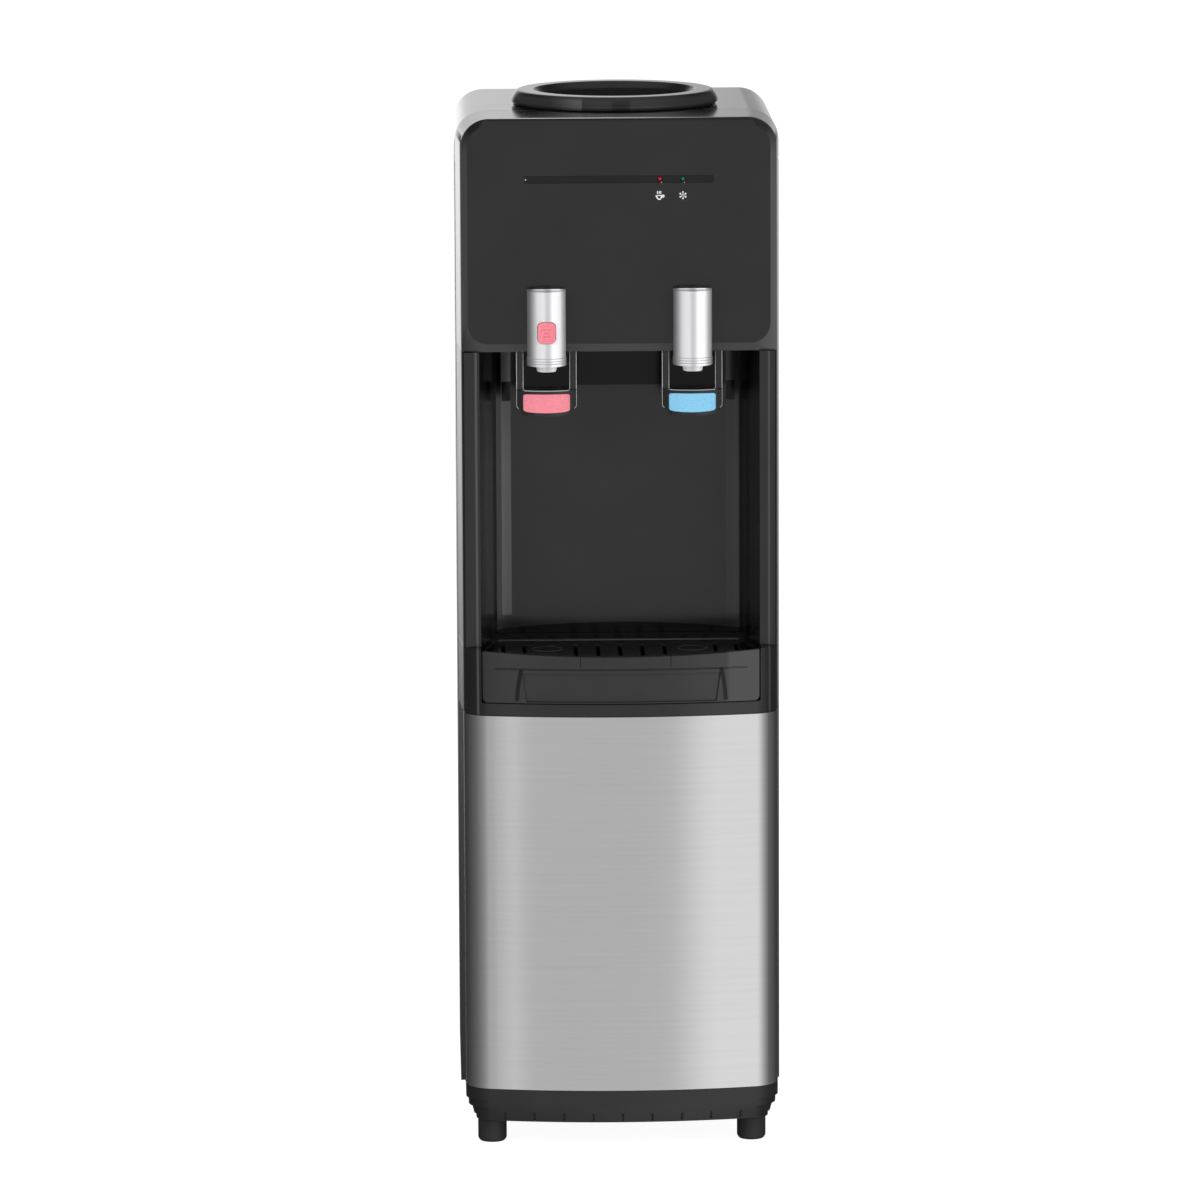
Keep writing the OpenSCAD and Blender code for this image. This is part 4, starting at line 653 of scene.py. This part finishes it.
# rounds the lower side corners, whose edges run front to back, below a height
def roundCorners(piece, radius, below, near=0.0004):
    pickPoints(piece, lambda p: False)
    bpy.ops.mesh.select_mode(type="EDGE")
    bpy.ops.object.mode_set(mode="OBJECT")
    ends = [point.co for point in piece.data.vertices]
    sides = [pick(p.x for p in ends) for pick in (min, max)]
    heights = [pick(p.z for p in ends) for pick in (min, max)]
    for edge in piece.data.edges:
        a, b = (ends[index] for index in edge.vertices)
        run = b - a
        alongY = abs(run.y) > 0.9 * run.length
        atSide = min(abs(a.x - side) for side in sides) < near
        atEnd = min(abs(a.z - height) for height in heights) < near
        edge.select = alongY and atSide and atEnd and a.z < below
    print("corners picked on", piece.name, sum(edge.select for edge in piece.data.edges))
    bpy.ops.object.mode_set(mode="EDIT")
    bpy.ops.mesh.bevel(offset=radius, segments=5, clamp_overlap=False)
    bpy.ops.object.mode_set(mode="OBJECT")


# moves the picked points up or down
def lift(piece, test, rise):
    pickPoints(piece, test)
    bpy.ops.transform.translate(value=(0, 0, rise))


# arches an edge: picked points rise in narrow steps, more and more towards the sides
arching = {"steps": 14, "leverStep": 0.002, "trayStep": 0.0092}


def archEdge(piece, test, middle, width, rise):
    for step in range(1, arching["steps"] + 1):
        part = rise * (2 * step - 1) / arching["steps"] ** 2
        lift(piece, lambda p: test(p) and abs(abs(p.x) - middle) > step * width, part)


# rounds the corners of a pad, column by column
padCorners = {"middle": 0.729, "columns": ((0.0208, 0.0004), (0.0220, 0.0011))}


def softenPad(piece):
    for side in (1, -1):
        for reach, rise in padCorners["columns"]:
            lift(
                piece,
                lambda p: (p.z - padCorners["middle"]) * side < 0 and abs(abs(p.x) - tapSide) > reach,
                rise * side,
            )


# the front modules widen backwards to the width of the cabinet, at their sides and rounded top corners
flare = {
    "pieces": ("upper_front_panel", "alcove_liner", "tray_surround", "lower_front_frame"),
    "by": 156.2 / 152, "from": -0.0725, "side": 0.1512,
    "cornerFrom": 0.1245, "cornerWide": 0.124, "cornerTall": 0.975, "cornerRound": 0.0272,
}


def isOuter(across, height):
    reach = math.hypot(across - flare["cornerWide"], height - flare["cornerTall"])
    return across > flare["side"] or across > flare["cornerFrom"] and reach > flare["cornerRound"]


# the shape's changes that a piece's looks ask for, in edit mode
def reshape(piece, name, looks):
    if looks.get("lift"):
        limit, rise = looks.pop("lift")
        lift(piece, lambda p: p.z < limit, rise)
    if looks.pop("pad", False):
        softenPad(piece)
    if looks.get("arch"):
        limit, rise = looks.pop("arch")
        archEdge(piece, lambda p: p.z < limit, tapSide, arching["leverStep"], rise)
    if looks.get("brow"):
        front, limit, rise = looks.pop("brow")
        archEdge(piece, lambda p: p.y < front and p.z > limit, 0, arching["trayStep"], rise)
    if name in flare["pieces"]:
        pickPoints(piece, lambda p: p.y > flare["from"] and isOuter(abs(p.x), p.z))
        bpy.ops.transform.resize(value=(flare["by"], 1, 1), center_override=(0, 0, 0))


# a merged copy of a CAD node, with its edges rounded, stands for the node
def softCopy(name, width, **looks):
    piece = nodes[name].copy()
    piece.data = nodes[name].data.copy()
    piece.name = name + "_soft"
    piece.parent = None
    for key in list(piece.keys()):
        del piece[key]
    bpy.context.scene.collection.objects.link(piece)
    pickOnly(piece)
    bpy.ops.object.mode_set(mode="EDIT")
    bpy.ops.mesh.select_all(action="SELECT")
    bpy.ops.mesh.remove_doubles(threshold=2e-6)
    bpy.ops.mesh.dissolve_limited(angle_limit=math.radians(angles["merge"]), delimit={"NORMAL"})
    bpy.ops.mesh.select_mode(type="VERT")
    reshape(piece, name, looks)
    bpy.ops.object.mode_set(mode="OBJECT")
    if looks.get("corner"):
        roundCorners(piece, looks.pop("corner"), looks.pop("below"))
    # the rounded edges can take a second finish: on the levers it is a painted highlight
    if looks.get("edge"):
        piece.data.materials.append(materials[looks.pop("edge")])
        looks["edgeSlot"] = 1
    roundOff(piece, width, **looks)
    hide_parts(name)
    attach(piece, bodyOf[name])
    return piece


# widths of the rounded edges in metres, where the wide ones get a third step
edges = {
    "base_tray": 0.0012, "feet": 0.0010, "left_side_panel": 0.0005, "right_side_panel": 0.0005,
    "rear_panel": 0.0004, "top_cover": 0.0012, "upper_front_panel": 0.0008, "display_strip": 0.0003,
    "alcove_liner": 0.0012, "tray_surround": 0.0010, "lower_front_frame": 0.0006,
    "lower_front_panel": 0.0003, "hot_tap_body": 0.0004, "cold_tap_body": 0.0004,
    "tap_nozzles": 0.0003, "hot_lever": 0.0006, "cold_lever": 0.0006, "hot_lever_pad": 0.0006,
    "cold_lever_pad": 0.0006, "lock_button": 0.0004, "drip_tray": 0.0008, "drip_grille": 0.0006,
    "bottle_collar": 0.0008, "bottle_funnel": 0.0005, "water_probe": 0.0004, "relay_cover": 0.0012,
    "drain_cap": 0.0004, "switch_housings": 0.0004, "hot_switch": 0.0004, "cold_switch": 0.0004,
    "cord_gland": 0.0004,
}
# what else changes on a piece: points below a height move up or down, edges arch, corners are rounded
# the levers' rounded edges take the pale finish as a painted highlight
leverLooks = {"edge": "paleHighlightAndDot", "clamp": False, "lift": (0.7182, -0.0022), "arch": (0.724, 0.0022)}
padLooks = {"pad": True, "lift": (0.729, -0.0012), "arch": (0.729, 0.0022), "clamp": False}
tapLooks = {"lift": (0.772, 0.003)}
special = {
    "hot_lever": leverLooks, "cold_lever": leverLooks, "hot_lever_pad": padLooks, "cold_lever_pad": padLooks,
    "hot_tap_body": tapLooks, "cold_tap_body": tapLooks, "tap_nozzles": {"lift": (9, 0.004)},
    "drip_tray": {"corner": 0.0050, "below": 0.45, "brow": (-0.145, 0.484, 0.0042)},
}

# where a lever's painted edge highlight is left off, in its black: where its arms meet the block, round its
# pad, below and behind
darkParts = {
    "jointFrom": 0.0225, "jointTall": (0.7385, 0.7435), "jointSlope": 0.2,
    "padTo": 0.0265, "padTall": (0.7188, 0.7392), "under": 0.7225, "underSlope": -0.25, "behind": -0.1375,
}


def darkenEdges(piece):
    for face in piece.data.polygons:
        spot, slope = face.center, face.normal.z
        away = abs(abs(spot.x) - tapSide)
        low, high = darkParts["jointTall"]
        joint = away > darkParts["jointFrom"] and low < spot.z < high and abs(slope) > darkParts["jointSlope"]
        low, high = darkParts["padTall"]
        pocket = away < darkParts["padTo"] and low < spot.z < high
        under = slope < darkParts["underSlope"] and spot.z < darkParts["under"]
        if joint or pocket or under or spot.y > darkParts["behind"]:
            face.material_index = 0


for name, width in edges.items():
    looks = dict(special.get(name, {}))
    piece = softCopy(name, width, steps=3 if width > 0.001 else 2, **looks)
    if "edge" in looks:
        darkenEdges(piece)
print("edges rounded on", len(edges), "pieces")


# small trim that only the scene has: signs, lamp rings and marks
def addBar(size, place, turn=0.0):
    bpy.ops.mesh.primitive_cube_add(size=1, location=place, rotation=(0, turn, 0))
    piece = bpy.context.object
    bpy.ops.object.mode_set(mode="EDIT")
    bpy.ops.transform.resize(value=size, orient_type="LOCAL", center_override=place)
    bpy.ops.object.mode_set(mode="OBJECT")
    bpy.ops.object.transform_apply(location=True, rotation=True, scale=True)
    return piece


def addRing(radius, thick, place):
    bpy.ops.mesh.primitive_torus_add(
        location=place, rotation=(math.pi / 2, 0, 0), major_radius=radius, minor_radius=thick,
        major_segments=28, minor_segments=8,
    )
    bpy.ops.object.transform_apply(location=True, rotation=True, scale=True)
    return bpy.context.object


def joinTrim(name, pieces, finish, body):
    pickOnly(pieces[0])
    for piece in pieces[1:]:
        piece.select_set(True)
    if len(pieces) > 1:
        bpy.ops.object.join()
    piece = bpy.context.object
    piece.name = name
    piece.data.materials.clear()
    piece.data.materials.append(materials[finish])
    smoothBelow(piece, angles["trim"])
    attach(piece, body)


# a steaming bowl under the hot lamp and a snowflake under the cold lamp.
# a bar has its middle, length, width and turn in degrees
sign = {"y": -0.1501, "thick": 0.0003, "z": 0.9284}
cup = {
    "x": 0.0390,
    "bowl": (
        (-0.0004, -0.0002, 0.0070, 0.0008, 0), (-0.0026, -0.0018, 0.0042, 0.0011, 58),
        (0.0018, -0.0018, 0.0042, 0.0011, -58), (-0.0004, -0.0036, 0.0030, 0.0012, 0),
    ),
    "steam": (-0.0020, -0.0004, 0.0012), "steamBar": (0.0027, 0.0007, 0.0028),
    "handle": {"radius": 0.0010, "thick": 0.0005, "x": 0.0033, "z": -0.0008},
}
flake = {"x": 0.0614, "middle": 0.0011, "dot": 0.0008, "reach": 0.0029, "spoke": (0.0056, 0.0004)}


def signBar(centre, x, z, length, width, turn=0):
    size, place = (length, sign["thick"], width), (centre + x, sign["y"], sign["z"] + z)
    return addBar(size, place, math.radians(turn))


def signDot(centre, x, z, radius):
    bpy.ops.mesh.primitive_cylinder_add(
        vertices=20, radius=radius, depth=sign["thick"], rotation=(math.pi / 2, 0, 0),
        location=(centre + x, sign["y"], sign["z"] + z),
    )
    bpy.ops.object.transform_apply(location=True, rotation=True, scale=True)
    return bpy.context.object


def makeCup():
    pieces = [signBar(cup["x"], *bar) for bar in cup["bowl"]]
    handle = cup["handle"]
    place = (cup["x"] + handle["x"], sign["y"], sign["z"] + handle["z"])
    pieces.append(addRing(handle["radius"], handle["thick"], place))
    for x in cup["steam"]:
        pieces.append(signBar(cup["x"], x, *cup["steamBar"]))
    joinTrim("cup_sign", pieces, "signWhite", "cabinet")


def makeFlake():
    at, reach = flake["x"], flake["reach"]
    pieces = [signDot(at, 0, 0, flake["middle"])]
    for turn in range(30, 390, 60):
        angle = math.radians(turn)
        pieces.append(signDot(at, reach * math.cos(angle), -reach * math.sin(angle), flake["dot"]))
        if turn < 210:
            pieces.append(signBar(at, 0, 0, *flake["spoke"], turn))
    joinTrim("snowflake_sign", pieces, "signWhite", "cabinet")


# a dark ring round each lamp and a glint below it, to the right
lampTrim = {
    "ring": 0.0029, "thick": 0.0003, "ringY": -0.1493,
    "glint": (0.0012, 0.0003, 0.0007), "glintY": -0.1495, "glintOff": (0.0014, -0.0033),
}


def makeLampTrim():
    glints = []
    right, down = lampTrim["glintOff"]
    for name in ("hot_lamp", "cold_lamp"):
        low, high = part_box(name)
        x, z = (low[0] + high[0]) / 2, (low[2] + high[2]) / 2
        ring = addRing(lampTrim["ring"], lampTrim["thick"], (x, lampTrim["ringY"], z))
        joinTrim(name + "_ring", [ring], "markBlack", "cabinet")
        glints.append(addBar(lampTrim["glint"], (x + right, lampTrim["glintY"], z + down)))
    joinTrim("lamp_glints", glints, "paleHighlightAndDot", "cabinet")


# a pale dot at the left end of the display strip
displayDot = {"size": (0.0012, 0.0003, 0.0012), "place": (-0.0890, -0.1494, 0.9440)}

# three level bars on the lock button, by width and height
lockMark = {
    "place": (-tapSide, -0.18005, 0.80), "thick": 0.0005, "tall": 0.0009,
    "bars": ((0.0075, 0.0034), (0.0055, 0), (0.0075, -0.0034)),
}


def makeLockMark():
    x, y, z = lockMark["place"]
    pieces = []
    for width, rise in lockMark["bars"]:
        pieces.append(addBar((width, lockMark["thick"], lockMark["tall"]), (x, y, z + rise)))
    joinTrim("lock_mark", pieces, "pinkShade", bodyOf["lock_button"])


makeCup()
makeFlake()
makeLampTrim()
joinTrim("display_dot", [addBar(displayDot["size"], displayDot["place"])], "paleHighlightAndDot", "cabinet")
makeLockMark()
print("signs and marks made")

# the round pieces that keep their CAD mesh
for name in sorted(set(nodes) - set(edges)):
    smoothBelow(nodes[name], angles["round"])
print("round pieces smoothed")


# studio: what gloss sees all round, as degrees and brightness: two soft panels in front and dark sides.
# above and behind the object it is pale, and the camera sees white
studio = {
    "round": (
        (-180, 0.05), (-131, 0.06), (-99, 0.12), (-74, 0.19), (-45, 0.35), (-32, 0.50), (-24, 0.64),
        (-21, 0.80), (-18.8, 1.02), (-18.0, 0.70), (-8, 0.70), (5, 0.70), (11, 0.72), (19, 1.10),
        (38, 1.10), (64.5, 0.52), (87, 0.18), (137, 0.06), (180, 0.05),
    ),
    "peak": 1.5, "fadeUp": (0.25, 0.5), "fadeLoss": 0.6,
    "behind": 0.92, "behindFrom": (150, 172), "behindFoot": (-0.20, -0.10),
    "dim": 0.5, "dimFrom": (100, 150), "dimTo": (176, 179.8),
    "lower": 0.35, "lowerTo": (-0.05, 0.05), "above": 0.55, "aboveFrom": (0.6, 0.95),
    "ambient": 0.55, "backdrop": 1.05,
}


def makeWorld():
    world = bpy.data.worlds.new("studio")
    bpy.context.scene.world = world
    world.use_nodes = True
    world.cycles.sampling_method = "NONE"
    kit = NodeKit(world.node_tree)
    away = kit.add("SeparateXYZ", {}, kit.add("TexCoord", {}).out("Generated"))
    heading = away.out("X").maths("ARCTAN2", away.out("Y") * -1.0) * (180 / math.pi)
    rise = away.out("Z")
    peak = studio["peak"]
    stops = [(place / 360 + 0.5, (level / peak,) * 3 + (1,)) for place, level in studio["round"]]
    level = kit.add("ValToRGB", {"stops": stops}, heading * (1 / 360) + 0.5) * peak
    level = level * (1 - rise.ease(*studio["fadeUp"]) * studio["fadeLoss"])
    behind = heading.size().ease(*studio["behindFrom"]) * rise.ease(*studio["behindFoot"])
    dim = 1 - heading.ease(*studio["dimFrom"]) * (1 - heading.ease(*studio["dimTo"])) * studio["dim"]
    lower = (1 - rise.ease(*studio["lowerTo"])) * studio["lower"]
    level = level * (1 - behind) + behind * dim * (studio["behind"] + lower)
    over = rise.ease(*studio["aboveFrom"])
    level = level * (1 - over) + over * studio["above"]
    path = kit.add("LightPath", {})
    camera, glossy, clear = (path.out(f"Is {kind} Ray") for kind in ("Camera", "Glossy", "Transmission"))
    plain = 1 - camera.maths("MAXIMUM", glossy).maths("MAXIMUM", clear)
    seen = camera.maths("MAXIMUM", clear) * studio["backdrop"]
    strength = seen + glossy * level * (1 - camera) + plain * studio["ambient"]
    kit.add("OutputWorld", {}, kit.add("Background", {}, (1, 1, 1, 1), strength))


# square lamps with their sides in metres and power in watts, all turned to the middle of the cooler
lamps = {
    "keyLeft": {"place": (-2.6, -3.6, 2.6), "side": 2.2, "power": 70},
    "keyRight": {"place": (2.8, -3.4, 2.2), "side": 2.2, "power": 60},
    "overhead": {"place": (0, 0.6, 3.6), "side": 2.6, "power": 45},
}
lampTarget = (0, 0, 0.6)


def makeLamp(name, place, side, power):
    data = bpy.data.lights.new(name, "AREA")
    data.shape, data.size, data.size_y, data.energy = "RECTANGLE", side, side, power
    lamp = bpy.data.objects.new(name, data)
    bpy.context.scene.collection.objects.link(lamp)
    lamp.location = place
    lamp.rotation_mode = "QUATERNION"
    lamp.rotation_quaternion = (Vector(lampTarget) - Vector(place)).to_track_quat("-Z", "Y")
    lamp.visible_glossy = False


# the floor looks near white to the camera, keeps the shadow and is clear to gloss
floorLook = {"side": 40, "colour": (0.86, 0.86, 0.86, 1), "glow": 1.22, "glowPart": 0.78}


def makeFloor():
    bpy.ops.mesh.primitive_plane_add(size=floorLook["side"], location=(0, 0, 0))
    floor = bpy.context.object
    floor.name = "floor"
    material = bpy.data.materials.new("paleFloor")
    material.use_nodes = True
    kit = NodeKit(material.node_tree)
    path = kit.add("LightPath", {})
    unseen = path.out("Is Glossy Ray").maths("MAXIMUM", path.out("Is Transmission Ray"))
    lit = kit.add("BsdfDiffuse", {}, floorLook["colour"])
    glow = kit.add("Emission", {}, (1, 1, 1, 1), floorLook["glow"])
    seen = kit.add("MixShader", {}, path.out("Is Camera Ray") * floorLook["glowPart"], lit, glow)
    shader = kit.add("MixShader", {}, unseen, seen, kit.add("BsdfTransparent", {}))
    kit.add("OutputMaterial", {}, shader)
    floor.data.materials.append(material)


makeWorld()
for name, lamp in lamps.items():
    makeLamp(name, **lamp)
makeFloor()
bpy.context.scene.view_settings.view_transform = "Standard"
print("studio lit")
